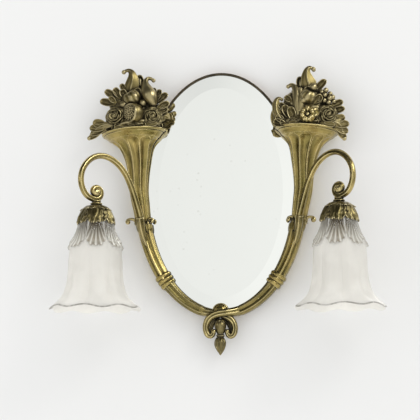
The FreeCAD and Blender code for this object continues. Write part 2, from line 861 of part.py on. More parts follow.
def arm():
    """A bored tube bent to a scroll that closes on a ball; the wire leaves it below."""
    outside = round_bar(arm_points(), arm_radius)
    eye = arm_place(volute_reach, volute_height)
    solid = outside.fuse(ball(volute_ball, eye.x, eye.y, eye.z))
    bore = round_bar(arm_points()[:-1], arm_bore)
    outlet = upright(arm_bore, lamp_x, lamp_y, neck_top - 6.0, arm_bottom_height)
    return solid.cut([bore, outlet])


def wire_route():
    """From the lampholder up through the scroll, down the foot, and over the board's back."""
    swing_points = arm_points()
    down = Vector(lamp_x, lamp_y, holder_top - 3.0)
    inside = arm_place(lamp_reach, arm_bottom_height + 0.6)
    rising = list(reversed(swing_points[1:-2]))
    foot = Vector(foot_x, foot_y, wire_exit_height)
    run_y = back + wire_radius + 0.6
    exit_point = Vector(foot_x + 3.0, run_y, wire_exit_height)
    half_block = block_width / 2
    return [down, inside] + rising + [
        foot,
        exit_point,
        Vector(foot_x - 7.0, run_y, wire_exit_height + 3.0),
        Vector(foot_x - 42.0, run_y, wire_exit_height + 22.0),
        Vector(half_block + 30.0, run_y, -6.0),
        Vector(half_block + 8.0, run_y, 0.0),
        Vector(half_block, run_y, 0.0),
    ]


def neck_ring():
    """The turned ring between the scroll and the leaf cap."""
    middle = (neck_top + neck_bottom) / 2
    outline = [
        (nipple_bore, neck_top),
        (neck_radius - 2.2, neck_top),
        (neck_radius, middle + 1.5),
        (neck_radius, middle - 1.5),
        (neck_radius - 1.6, neck_bottom),
        (nipple_bore, neck_bottom),
    ]
    ring = turned(outline, lamp_x, lamp_y)
    thread = upright(nipple_radius, lamp_x, lamp_y, neck_bottom, nipple_top)
    saddle = round_bar(arm_points(), arm_radius + running_clearance)
    return ring.cut([thread, saddle])


def nipple():
    low = holder_top - 8.0
    return tube(nipple_radius, nipple_bore, lamp_x, lamp_y, low, nipple_top)


def turned_shell(outer, inner, bore):
    """A turned shell on the lamp's axis between two smooth outlines, with a flat top and a bore."""
    outer = [Vector(lamp_x + radius, lamp_y, height) for radius, height in outer]
    inner = [Vector(lamp_x + radius, lamp_y, height) for radius, height in inner]
    outer_curve = Part.BSplineCurve()
    outer_curve.interpolate(outer)
    inner_curve = Part.BSplineCurve()
    inner_curve.interpolate(inner)
    top = Vector(lamp_x + bore, lamp_y, outer[0].z)
    under = Vector(lamp_x + bore, lamp_y, inner[0].z)
    wire = Part.Wire([
        Part.makeLine(top, outer[0]),
        outer_curve.toShape(),
        Part.makeLine(outer[-1], inner[-1]),
        inner_curve.toShape(),
        Part.makeLine(inner[0], under),
        Part.makeLine(under, top),
    ])
    return Part.Face(wire).revolve(Vector(lamp_x, lamp_y, 0), Vector(0, 0, 1), 360)


def leaf_canopy():
    """A cap of leaves over the shade's neck; the leaf tips make its lower edge."""
    bottom = canopy_top - canopy_height
    outline = [(11.0, 0.0), (19.5, 3.0), (26.5, 11.0), (30.2, 22.0), (canopy_radius, canopy_height)]
    outer = [(radius, canopy_top - drop) for radius, drop in outline]
    inner = [(radius - canopy_wall, canopy_under - drop) for radius, drop in outline]
    inner[-1] = (canopy_radius - canopy_wall, bottom)
    cap = turned_shell(outer, inner, nipple_radius + 0.1)
    notches = []
    for leaf in range(canopy_leaves):
        turn = 2 * math.pi * (leaf + 0.5) / canopy_leaves
        outward = Vector(math.cos(turn), math.sin(turn), 0)
        start = Vector(lamp_x, lamp_y, bottom - 2.0) + outward * 20.0
        notches.append(Part.makeCylinder(6.0, 20.0, start, outward))
    return cap.cut(notches)


def canopy_nut():
    """The locknut on the nipple that presses the leaf cap against the neck ring."""
    low = canopy_under - canopy_nut_height
    return tube(canopy_nut_radius, nipple_radius, lamp_x, lamp_y, low, canopy_under)


def lampholder():
    """The brass case: a threaded sleeve with a flange that the shade hangs against."""
    flange_top = shade_top + flange_thickness
    outline = [
        (nipple_radius, holder_top),
        (holder_radius - 2.0, holder_top),
        (holder_radius, holder_top - 2.0),
        (holder_radius, flange_top),
        (holder_flange, flange_top),
        (holder_flange, shade_top),
        (holder_radius, shade_top),
        (holder_radius, holder_bottom),
        (holder_radius - holder_wall, holder_bottom),
        (holder_radius - holder_wall, holder_top - 4.0),
        (nipple_radius, holder_top - 4.0),
    ]
    return turned(outline, lamp_x, lamp_y)


def holder_core():
    """The porcelain inside the case, hollow for the lamp's screw shell."""
    radius = holder_radius - holder_wall - 0.1
    top = holder_top - 8.5
    bottom = holder_bottom + 1.0
    core = upright(radius, lamp_x, lamp_y, bottom, top)
    socket_end = bottom + lamp_thread_length + 6.0
    return core.cut(upright(lamp_thread_radius + thread_shell, lamp_x, lamp_y, bottom, socket_end))


def screw_shell():
    """The brass shell that the lamp screws into."""
    bottom = holder_bottom + 1.0
    outer = lamp_thread_radius + thread_shell
    return tube(outer, lamp_thread_radius, lamp_x, lamp_y, bottom, bottom + lamp_thread_length)


def centre_contact():
    top = holder_bottom + 1.0 + lamp_thread_length + 6.0
    stem = upright(2.0, lamp_x, lamp_y, top - 5.0, top)
    return stem.fuse(upright(3.4, lamp_x, lamp_y, top - 1.2, top)).removeSplitter()


def glass_shade():
    """A tulip of frosted glass, open below, with a hole at its shoulder for the lampholder."""
    outer = [(radius, shade_top - drop) for radius, drop in shade_outline]
    inner = []
    for index, (radius, drop) in enumerate(shade_outline):
        lean = min(index / 4.0, 1.0)
        inner.append((radius - shade_glass * lean, shade_top - drop - shade_glass * (1 - lean)))
    flare_radius, flare_drop = shade_outline[-2]
    inner[-2] = (flare_radius - 3.2, shade_top - flare_drop - 1.6)
    inner[-1] = (shade_mouth - 2.4, shade_top - shade_length)
    return turned_shell(outer, inner, holder_radius + 0.6)


def shade_ring():
    """The threaded ring that holds the shade up on the lampholder."""
    bore = holder_radius + running_clearance
    ring = tube(ring_radius, bore, lamp_x, lamp_y, ring_top - ring_height, ring_top)
    grips = []
    for grip in range(12):
        turn = 2 * math.pi * grip / 12
        x = lamp_x + ring_radius * math.cos(turn)
        y = lamp_y + ring_radius * math.sin(turn)
        grips.append(upright(1.2, x, y, ring_top - ring_height, ring_top - 1.5))
    return ring.cut(grips)


# ---------------------------------------------------------------- the back
def backboard():
    board = oval_plate(glass_half_width - 0.2, glass_half_height - 0.2, back, board_front)
    recess = block(-block_width / 2 - 0.2, block_width / 2 + 0.2, back - block_recess, 0,
                   -block_height / 2 - 0.2, block_height / 2 + 0.2)
    return board.cut(recess)


def hanger_strap():
    """A flat strap across the horns' backs; its raised middle touches the wall."""
    strap_back = back + strap_thickness
    corners = [
        Vector(-strap_half_length, strap_back, 0),
        Vector(-bridge_half_length - 8.0, strap_back, 0),
        Vector(-bridge_half_length, 0, 0),
        Vector(bridge_half_length, 0, 0),
        Vector(bridge_half_length + 8.0, strap_back, 0),
        Vector(strap_half_length, strap_back, 0),
        Vector(strap_half_length, back, 0),
        Vector(bridge_half_length + 8.0, back, 0),
        Vector(bridge_half_length, -strap_thickness, 0),
        Vector(-bridge_half_length, -strap_thickness, 0),
        Vector(-bridge_half_length - 8.0, back, 0),
        Vector(-strap_half_length, back, 0),
    ]
    corners = [Vector(corner.x, corner.y, hanger_height - strap_half_height) for corner in corners]
    strap = Part.Face(Part.makePolygon(corners + corners[:1])).extrude(Vector(0, 0, 2 * strap_half_height))
    pad = forward(strap_half_height + 11.0, 0.0, hanger_height + 6.0, 0.0, -strap_thickness)
    strap = fused(strap, [pad])
    hole = forward(hanging_hole_radius, 0.0, hanger_height, 1.0, back)
    slot_top = forward(hanging_slot_radius, 0.0, hanger_height + hanging_slot_rise, 1.0, back)
    slot_end = hanger_height + hanging_slot_rise
    slot = block(-hanging_slot_radius, hanging_slot_radius, back, 1.0, hanger_height, slot_end)
    screws = [screw_hole(side * x, hanger_height) for x in strap_screw_xs for side in (1, -1)]
    return strap.cut([hole, slot_top, slot] + screws)


def turn_button(angle):
    """A small brass plate that swings over the board's edge on its screw."""
    point, outward = tray_edge(angle)
    pivot = point + outward * button_outset
    y_front = back + face_clearance
    y_back = y_front + button_thickness
    plate = plate_along(pivot, outward, -button_length + button_width, 0.0, button_width, y_back, y_front)
    heel = forward(button_width / 2, pivot.x, pivot.z, y_back, y_front)
    toe_at = pivot - outward * (button_length - button_width)
    toe = forward(button_width / 2, toe_at.x, toe_at.z, y_back, y_front)
    hole = forward(screw_radius + running_clearance, pivot.x, pivot.z, 0.0, -20.0)
    return fused(plate, [heel, toe]).cut(hole)


def terminal_block():
    """A small porcelain block in the board's recess, with a hole for each wire."""
    y_front = back - block_recess
    body = block(-block_width / 2, block_width / 2, y_front, block_back, -block_height / 2, block_height / 2)
    holes = [forward(1.5, x, 0.0, 0.0, block_back - 5.0) for x in (-6.0, 6.0)]
    return body.cut(holes)


def terminal_screws():
    screws = [forward(1.4, x, 0.0, block_back + 0.5, block_back - 5.0) for x in (-6.0, 6.0)]
    return Part.makeCompound(screws)


def wire_clip(wire_points, share):
    """A small saddle over the wire on the board's back."""
    start, end = wire_points[-4], wire_points[-3]
    at = start + (end - start) * share
    along = end - start
    along.normalize()
    side = Vector(-along.z, 0, along.x)
    corners = [at + along * a + side * s for a, s in ((-4, -5), (4, -5), (4, 5), (-4, 5))]
    corners = [Vector(corner.x, back, corner.z) for corner in corners]
    face = Part.Face(Part.makePolygon(corners + corners[:1]))
    saddle = face.extrude(Vector(0, 2 * wire_radius + 1.8, 0))
    return saddle.cut(Part.makeCylinder(wire_radius + 0.2, (end - start).Length, start, end - start))


def build():
    os.makedirs("parts", exist_ok=True)
    wire_points = wire_route()
    wire = round_bar(wire_points, wire_radius, wire_bend)
    passage = round_bar(wire_points[-8:], wire_passage, wire_bend)
    arm_solid = arm()

    save("mirror_glass", mirror_glass())
    save("rim_tray", tray())
    save("packing_sheet", oval_plate(glass_half_width, glass_half_height, board_front, packing_front))
    save("backboard", backboard())

    save_pair("horn", horn([passage]))
    save_pair("upper_stem", upper_stem([passage]))
    save_pair("stem_band", stem_band())
    save_pair("leaf_collar", leaf_collar(passage))
    save_pair("fruit_cluster", fruit_cluster())

    right_curl = ribbon(front_eye_back - eye_thickness / 2, front_loop_y, ribbon_radius + seat_clearance)
    left_curl = ribbon(pendant_y, pendant_y, ribbon_radius + seat_clearance)
    save("right_lower_stem", lower_stem(True, mirrored(left_curl)))
    save("left_lower_stem", mirrored(lower_stem(False, mirrored(right_curl))))
    save("knot_dome", knot_dome())
    save("knot_bolt", knot_bolt())
    save("centre_berry", centre_berry())
    save("pendant_collar", pendant_collar())
    save("finial_bud", finial_bud())
    save("pendant_rod", pendant_rod())

    save_pair("arm", arm_solid)
    save_pair("neck_ring", neck_ring())
    save_pair("nipple", nipple())
    save("canopy_nuts", both_sides([canopy_nut()]))
    save_pair("leaf_canopy", leaf_canopy())
    save_pair("lampholder", lampholder())
    save_pair("holder_core", holder_core())
    save_pair("screw_shell", screw_shell())
    save("centre_contacts", both_sides([centre_contact()]))
    save_pair("glass_shade", glass_shade())
    save_pair("shade_ring", shade_ring())
    save_pair("wire", wire)

    arm_side = foot_y - arm_radius
    set_screw = forward(screw_radius, foot_x, set_screw_height, arm_side, arm_side - 4.6)
    save("arm_set_screws", both_sides([set_screw]))
    shank = forward(fruit_screw_radius, *fruit_screw_place, back, back - fruit_screw_length + 1.0)
    fruit_screw = fused(shank, [forward(4.0, *fruit_screw_place, back + 2.0, back)])
    save("fruit_screws", both_sides([fruit_screw]))
    save("ear_screws", Part.makeCompound([round_head_screw(x, z, back + tray_wall) for x, z in ear_places()]))
    save("hanger_strap", hanger_strap())
    strap_screws = [round_head_screw(x, hanger_height, back + strap_thickness) for x in strap_screw_xs]
    save("strap_screws", both_sides(strap_screws))
    bumpers = []
    for x, z in bumper_places:
        hole = forward(screw_radius, x, z, 0.1, back - 1.0)
        bumpers.append(forward(bumper_radius, x, z, 0.0, back).cut(hole))
    save("wall_bumpers", both_sides(bumpers))
    bumper_screws = [forward(screw_radius, x, z, -2.0, back - screw_depth + 1.0) for x, z in bumper_places]
    save("bumper_screws", both_sides(bumper_screws))
    button_screws = []
    for name, angle in zip(button_names, button_angles):
        save_pair("turn_button_" + name, turn_button(angle))
        x, z = rim_place(angle, button_outset)
        button_screws.append(round_head_screw(x, z, back + 2 * face_clearance + button_thickness))
    save("button_screws", both_sides(button_screws))
    save("terminal_block", terminal_block())
    save("terminal_screws", terminal_screws())
    clips = [wire_clip(wire_points, share) for share in (0.35, 0.7)]
    save("wire_clips", both_sides(clips))
    print(len(made), "pieces of", len(set(made)), "names")


build()
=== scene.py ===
# %% [markdown]
# # A wall mirror with two lamps
#
# The mirror is an oval glass between two cast-brass horns of fruit. An arm scrolls out of each horn
# and carries a frosted tulip shade. The construction model says where every piece sits; this file
# gives each one its true surface. Places are written in millimetres from the middle of the glass,
# the way a maker would measure them, with the front towards -Y and the wall at Y = 0.

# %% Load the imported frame
import json
import math
import random

import bmesh
import bpy
from mathutils import Matrix, Vector, noise


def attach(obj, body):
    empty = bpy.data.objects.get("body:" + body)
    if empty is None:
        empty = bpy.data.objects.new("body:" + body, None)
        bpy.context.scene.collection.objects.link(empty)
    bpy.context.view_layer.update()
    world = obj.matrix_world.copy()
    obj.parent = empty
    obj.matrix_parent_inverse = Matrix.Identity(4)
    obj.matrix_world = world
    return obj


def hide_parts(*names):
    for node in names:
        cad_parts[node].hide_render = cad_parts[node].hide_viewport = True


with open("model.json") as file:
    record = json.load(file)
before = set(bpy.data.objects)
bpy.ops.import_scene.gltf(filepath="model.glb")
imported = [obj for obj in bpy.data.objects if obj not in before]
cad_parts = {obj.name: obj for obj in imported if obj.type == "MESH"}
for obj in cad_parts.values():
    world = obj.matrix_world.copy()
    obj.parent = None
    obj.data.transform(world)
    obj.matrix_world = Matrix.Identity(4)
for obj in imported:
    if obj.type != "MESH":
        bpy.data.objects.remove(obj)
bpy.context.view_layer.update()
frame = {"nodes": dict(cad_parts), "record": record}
mm = 0.001
middle_height = -0.085      # metres: the middle of the glass, below the hanging hole
random.seed(7)


def spot(x, y, z):
    """A place in metres, from millimetres counted from the middle of the glass."""
    return Vector((x * mm, y * mm, z * mm + middle_height))


# %% [markdown]
# ## Camera, wall and light
#
# The camera stands 2.3 m away, a little to the right of the mirror and below it. A long lens keeps
# the oval true. The wall is plain and pale. It shows only from the front, so that a view from
# behind still sees the back of the mirror.

# %% Camera
camera_data = bpy.data.cameras.new("camera")
camera_data.sensor_width = 36.0
camera_data.lens = 115.97
camera = bpy.data.objects.new("camera", camera_data)
bpy.context.scene.collection.objects.link(camera)
camera.location = (0.180, -2.283, -0.4768)
aim = Vector((-0.018, -0.020, -0.117))
camera.rotation_euler = (aim - camera.location).to_track_quat("-Z", "Y").to_euler()
bpy.context.scene.camera = camera
bpy.context.scene.view_settings.view_transform = "Standard"
print("the camera stands", round((aim - camera.location).length, 3), "m away")

# %% [markdown]
# A shader is easier to read as a sum than as a picture of nodes. `Link` wraps one output socket
# and turns `a * b + c` into Math nodes, and `Finish.node` adds any other kind of node.


# %% Shader sums
class Link:
    """One output socket; sums on it add Math nodes to its finish."""

    def __init__(self, finish, socket):
        self.finish = finish
        self.socket = socket

    def maths(self, operation, *others):
        return self.finish.node("Math", {"operation": operation}, dict(enumerate((self,) + others)))

    def __add__(self, other):
        return self.maths("ADD", other)

    def __sub__(self, other):
        return self.maths("SUBTRACT", other)

    def __rsub__(self, other):
        return self.finish.node("Math", {"operation": "SUBTRACT"}, {0: other, 1: self})

    def __mul__(self, other):
        return self.maths("MULTIPLY", other)

    __radd__ = __add__
    __rmul__ = __mul__

    def between(self, low, high):
        """0 below low, 1 above high, smooth between them."""
        settings = {"interpolation_type": "SMOOTHSTEP"}
        return self.finish.node("MapRange", settings, {"Value": self, "From Min": low, "From Max": high})

    def clamped(self):
        return self.finish.node("Clamp", {}, {"Value": self})


class Finish:
    """A material, or the world, under construction."""

    def __init__(self, subject):
        """Starts on a new material, given its name, or on the world."""
        self.material = bpy.data.materials.new(subject) if isinstance(subject, str) else subject
        self.material.use_nodes = True
        self.tree = self.material.node_tree
        self.tree.nodes.clear()

    def node(self, kind, settings=None, values=None, output=0):
        made = self.tree.nodes.new("ShaderNode" + kind)
        for name, setting in (settings or {}).items():
            setattr(made, name, setting)
        for name, value in (values or {}).items():
            if isinstance(value, Link):
                self.tree.links.new(value.socket, made.inputs[name])
            else:
                made.inputs[name].default_value = value
        return Link(self, made.outputs[output] if made.outputs else None)

    def place(self, scale=(1.0, 1.0, 1.0)):
        """Object coordinates, stretched by scale."""
        where = self.node("TexCoord", output=3)
        return self.node("Mapping", {}, {"Vector": where, "Scale": scale})

    def attribute(self, name):
        return self.node("Attribute", {"attribute_name": name}, output=2)

    def axis(self, vector, index):
        """One number of a vector: 0 is X, 1 is Y and 2 is Z."""
        return self.node("SeparateXYZ", {}, {"Vector": vector}, output=index)

    def noise(self, scale, detail=3.0, roughness=0.5, stretch=(1.0, 1.0, 1.0)):
        values = {"Vector": self.place(stretch), "Scale": scale, "Detail": detail, "Roughness": roughness}
        return self.node("TexNoise", {}, values)

    def mix(self, share, first, second):
        """A colour between two colours."""
        def full(colour):
            return colour if isinstance(colour, Link) else tuple(colour) + (1.0,)
        values = {0: share, 6: full(first), 7: full(second)}
        return self.node("Mix", {"data_type": "RGBA"}, values, output=2)

    def bump(self, height, depth, strength=1.0, under=None):
        values = {"Height": height, "Distance": depth, "Strength": strength}
        if under is not None:
            values["Normal"] = under
        return self.node("Bump", {}, values)

    def surface(self, values):
        """Ends the material with a principled surface."""
        return self.show(self.node("BsdfPrincipled", {}, values))

    def show(self, shader):
        self.node("OutputMaterial", {}, {"Surface": shader})
        return self.material


# %% [markdown]
# ### The pale wall and the floor
#
# Both are backdrops. Their shader lets a ray through where it isn't a camera or a mirror ray from
# the front: the wall then casts no gloom on the mirror's back.


# %% Wall and floor
def backdrop_finish(name, colour):
    finish = Finish(name)
    plain = finish.node("BsdfDiffuse", {}, {"Color": colour + (1.0,)})
    clear = finish.node("BsdfTransparent")
    behind = finish.node("NewGeometry", output=6)
    camera_ray, glossy_ray, through_ray = (finish.node("LightPath", output=index) for index in (0, 3, 6))
    seen = (camera_ray + glossy_ray + through_ray).clamped() * (1 - behind)
    return finish.show(finish.node("MixShader", {}, {0: seen, 1: clear, 2: plain}))


def backdrop(name, size, place, turn, colour):
    bpy.ops.object.select_all(action="DESELECT")
    bpy.ops.mesh.primitive_plane_add(size=size, location=place, rotation=turn)
    piece = bpy.context.object
    piece.name = name
    piece.data.materials.append(backdrop_finish(name + "_paint", colour))


backdrop("wall", 8.0, (0, 0.0006, 1.6), (math.radians(90), 0, 0), (0.80, 0.802, 0.80))
backdrop("floor", 8.0, (0, 0, -1.6), (0, 0, 0), (0.80, 0.80, 0.79))
print("a wall and a floor behind the mirror")

# %% [markdown]
# ### Light
#
# One soft lamp stands high on the right, so the shadows fall softly to the left. Three weaker ones
# open the shadows on the left, below and behind. The room itself is the main light: pale in front
# of the mirror, where the glass and the brass look for their reflection, and dark to the sides,
# above and below, which gives the metal its dark edges. A window pane gives it the highlights.


# %% Lamps and room
def soft_lamp(name, place, size, power, colour=(1.0, 1.0, 1.0)):
    data = bpy.data.lights.new(name, "AREA")
    data.shape = "DISK"
    data.size = size
    data.energy = power
    data.color = colour
    lamp = bpy.data.objects.new(name, data)
    bpy.context.scene.collection.objects.link(lamp)
    lamp.location = place
    lamp.rotation_euler = (Vector((0, -0.02, -0.1)) - lamp.location).to_track_quat("-Z", "Y").to_euler()


soft_lamp("window", (1.35, -1.60, 1.30), 0.8, 5.4, (1.0, 0.985, 0.95))
soft_lamp("left_lamp", (-1.9, -1.5, 0.2), 0.8, 3.4, (0.97, 0.98, 1.0))
soft_lamp("low_lamp", (0.3, -1.6, -1.4), 0.8, 1.2)
soft_lamp("back_lamp", (0.6, 1.8, 0.9), 1.2, 22.0)

world = bpy.data.worlds.new("room")
bpy.context.scene.world = world
room = Finish(world)
way = room.node("TexCoord", output=0)
sideways, backwards, upwards = (room.axis(way, index) for index in range(3))
frontwards = 0.0 - backwards
front_share = frontwards.between(0.72, 0.91)
pane = sideways.between(0.42, 0.56) * (1 - sideways.between(0.74, 0.84)) * upwards.between(0.30, 0.42)
pane = pane * (1 - upwards.between(0.62, 0.74))
bright_side = sideways.between(0.55, 0.80) * (1 - sideways.between(0.88, 0.97)) * upwards.between(-0.35, 0.15)
bounce = frontwards.between(0.25, 0.55) * (0.0 - upwards).between(0.12, 0.45)
level = sideways.between(-0.20, 0.14) * 0.090 - upwards.between(0.16, 0.42) * 0.075 + 0.835
around = bright_side * 0.9 + bounce * 0.75 + 0.015
level = front_share * level + (1 - front_share) * around + pane * 5.5
seen_in_metal = room.node("CombineColor", {}, {"Red": level, "Green": level * 1.012, "Blue": level * 0.985})
glossy = room.node("LightPath", output=3)
room_colour = room.mix(glossy, (1.03, 1.03, 1.022), seen_in_metal)
background = room.node("Background", {}, {"Color": room_colour, "Strength": 1.0})
room.node("OutputWorld", {}, {"Surface": background})
print("four lamps and a room that", len(room.tree.nodes), "nodes describe")

# %% [markdown]
# ## Finishes
#
# The brackets are cast brass, gilded once and rubbed since. Three things make that look: worn
# edges that are pale gold, partly real wear and partly a painted highlight, broad surfaces of
# olive-brown patina in uneven patches, and hollows that are nearly black, partly old dirt and
# partly painted shade. Pointiness finds the edges of a dense mesh and ambient occlusion finds the
# hollows and the gaps between touching parts, so the same finish fits every casting.


# %% Aged brass
def aged_brass(name, patina, warm, wear_and_highlight_colour, hollow=(0.018, 0.014, 0.006), reach=0.007, grime_and_shade=1.0, polish=0.28):
    finish = Finish(name)
    patches = finish.noise(24.0, 4.0, 0.62)
    streaks = finish.noise(55.0, 3.0, 0.55, (1.0, 1.0, 0.12))
    fine = finish.noise(420.0, 2.0, 0.6)
    edge = finish.node("NewGeometry", output=7).between(0.503, 0.55)
    open_sky = finish.node("AmbientOcclusion", {"samples": 8}, {"Distance": reach}, output=1)
    colour = finish.mix((patches * 0.6 + streaks * 0.4).between(0.38, 0.62), patina, warm)
    # Convex edges turn pale gold: partly real wear on the gilding, partly a painted highlight.
    wear_and_highlight = (edge * (0.60 + patches * 1.0)).clamped()
    colour = finish.mix(wear_and_highlight, colour, wear_and_highlight_colour)
    # Hollows and the gaps between touching parts take the hollow colour: partly old dirt, partly painted shade that
    # ambient occlusion finds.
    dirt_and_shade = ((1 - open_sky.between(0.40, 0.95)) * grime_and_shade * (0.70 + fine * 0.6)).clamped()
    colour = finish.mix(dirt_and_shade, colour, hollow)
    skin = finish.bump(fine, 0.00012, 0.5)
    skin = finish.bump(patches, 0.0006, 0.35, skin)
    rough = (patches * 0.20 + fine * 0.10 + polish - 0.10) + dirt_and_shade * 0.30 - wear_and_highlight * 0.10
    metal = 0.97 - dirt_and_shade * 0.40
    return finish.surface({"Base Color": colour, "Metallic": metal, "Roughness": rough, "Normal": skin})


bracket_brass = aged_brass("aged_gilt_brass", (0.255, 0.208, 0.064), (0.45, 0.345, 0.122), (0.95, 0.79, 0.40),
                           reach=0.009, grime_and_shade=1.1, polish=0.23)
rose_brass = aged_brass("rose_brass", (0.125, 0.100, 0.040), (0.200, 0.160, 0.068), (0.27, 0.225, 0.115),
                        (0.042, 0.032, 0.013), reach=0.008, grime_and_shade=0.95, polish=0.34)
strap_brass = aged_brass("strap_brass", (0.165, 0.135, 0.045), (0.275, 0.218, 0.080), (0.58, 0.48, 0.24),
                         (0.022, 0.017, 0.008), reach=0.009, grime_and_shade=1.25, polish=0.26)
fruit_brass = aged_brass("dark_fruit_brass", (0.165, 0.132, 0.050), (0.27, 0.215, 0.090), (0.50, 0.42, 0.23),
                         (0.036, 0.027, 0.011), reach=0.010, grime_and_shade=1.15, polish=0.34)
lamp_brass = aged_brass("lamp_arm_brass", (0.185, 0.148, 0.048), (0.43, 0.33, 0.115), (0.92, 0.77, 0.40), reach=0.009,
                        grime_and_shade=1.1, polish=0.22)
cap_brass = aged_brass("leaf_cap_brass", (0.120, 0.098, 0.038), (0.235, 0.190, 0.080), (0.62, 0.53, 0.31),
                       (0.026, 0.020, 0.009), reach=0.009, grime_and_shade=1.2)


# %% [markdown]
# The small parts at the back were never meant to be seen: plain sheet brass, steel screws, an
# unvarnished board, porcelain, felt, rubber, and wire in a cotton braid.


# %% Plain finishes
def plain_metal(name, colour, dull, rough, metallic=1.0):
    finish = Finish(name)
    stain = finish.noise(45.0, 4.0, 0.6)
    brushed = finish.noise(900.0, 2.0, 0.5, (1.0, 1.0, 0.08))
    tone = finish.mix(stain.between(0.40, 0.68), colour, dull)
    skin = finish.bump(brushed, 0.00005, 0.4)
    return finish.surface({"Base Color": tone, "Metallic": metallic, "Roughness": stain * 0.25 + rough,
                           "Normal": skin})


sheet_brass = plain_metal("sheet_brass", (0.55, 0.41, 0.16), (0.24, 0.17, 0.07), 0.25)
tray_brass = plain_metal("darkened_tray", (0.11, 0.09, 0.06), (0.05, 0.043, 0.03), 0.42)
screw_steel = plain_metal("screw_steel", (0.45, 0.43, 0.40), (0.22, 0.18, 0.14), 0.28)


def board_finish():
    finish = Finish("old_pine")
    grain = finish.noise(9.0, 5.0, 0.62, (1.0, 1.0, 0.09))
    rings = (grain * 34.0).maths("SINE") * 0.5 + 0.5
    pores = finish.noise(700.0, 2.0, 0.6, (1.0, 1.0, 0.03))
    colour = finish.mix(rings, (0.34, 0.20, 0.10), (0.50, 0.33, 0.18))
    colour = finish.mix(pores.between(0.56, 0.66), colour, (0.20, 0.11, 0.05))
    skin = finish.bump(rings * 0.4 + pores, 0.0002, 0.5)
    return finish.surface({"Base Color": colour, "Roughness": 0.72 - rings * 0.1, "Normal": skin})


def soft_finish(name, colour, second, scale, rough, depth):
    finish = Finish(name)
    fibres = finish.noise(scale, 4.0, 0.7)
    skin = finish.bump(fibres, depth, 0.6)
    tone = finish.mix(fibres.between(0.35, 0.65), colour, second)
    return finish.surface({"Base Color": tone, "Roughness": rough, "Normal": skin})


old_pine = board_finish()
porcelain = soft_finish("porcelain", (0.80, 0.79, 0.74), (0.72, 0.69, 0.60), 60.0, 0.18, 0.00005)
felt = soft_finish("grey_felt", (0.16, 0.155, 0.14), (0.10, 0.095, 0.085), 600.0, 0.95, 0.0003)
rubber = soft_finish("black_rubber", (0.03, 0.03, 0.03), (0.05, 0.05, 0.048), 200.0, 0.75, 0.00008)


def braid_finish():
    finish = Finish("cotton_braid")
    where = finish.node("TexCoord", output=3)
    strands = finish.node("TexWave", {"bands_direction": "DIAGONAL"}, {"Vector": where, "Scale": 500.0}, 1)
    crossed = finish.node("TexWave", {"bands_direction": "X"}, {"Vector": where, "Scale": 420.0}, 1)
    weave = strands * 0.5 + crossed * 0.5
    colour = finish.mix(weave, (0.16, 0.105, 0.045), (0.34, 0.25, 0.12))
    return finish.surface({"Base Color": colour, "Roughness": 0.85, "Normal": finish.bump(weave, 0.0003, 0.7)})


cotton_braid = braid_finish()

# %% [markdown]
# ### Mirror and shade glass
#
# The mirror is silvered glass: a metal with almost no roughness, a breath of grey-green, and a
# scatter of small age spots where the silver has gone. The shade is acid-frosted. Light spreads
# inside it, so it is a blend of a pale surface and a translucent one; towards its outline the
# glass is seen edge on and looks greyer, which Layer Weight gives. Three point attributes, painted
# on the shade further down, say where the moulded leaves and their ribs are and where a dark line
# of painted shade runs along the rim's front edge.


# %% Glass finishes
def silvered_glass():
    finish = Finish("silvered_glass")
    cloud = finish.noise(14.0, 4.0, 0.6)
    specks = finish.node("TexVoronoi", {}, {"Vector": finish.place(), "Scale": 55.0})
    worn_here = finish.noise(7.0, 2.0, 0.5).between(0.50, 0.66)
    spot_mask = (1 - specks.between(0.05, 0.16)) * worn_here
    colour = finish.mix(cloud, (0.955, 0.965, 0.945), (0.985, 0.99, 0.975))
    colour = finish.mix(spot_mask * 0.35, colour, (0.62, 0.62, 0.57))
    return finish.surface({"Base Color": colour, "Metallic": 1.0, "Roughness": cloud * 0.03 + spot_mask * 0.2 + 0.01,
                    "Coat Weight": 0.0, "Specular IOR Level": 0.5})


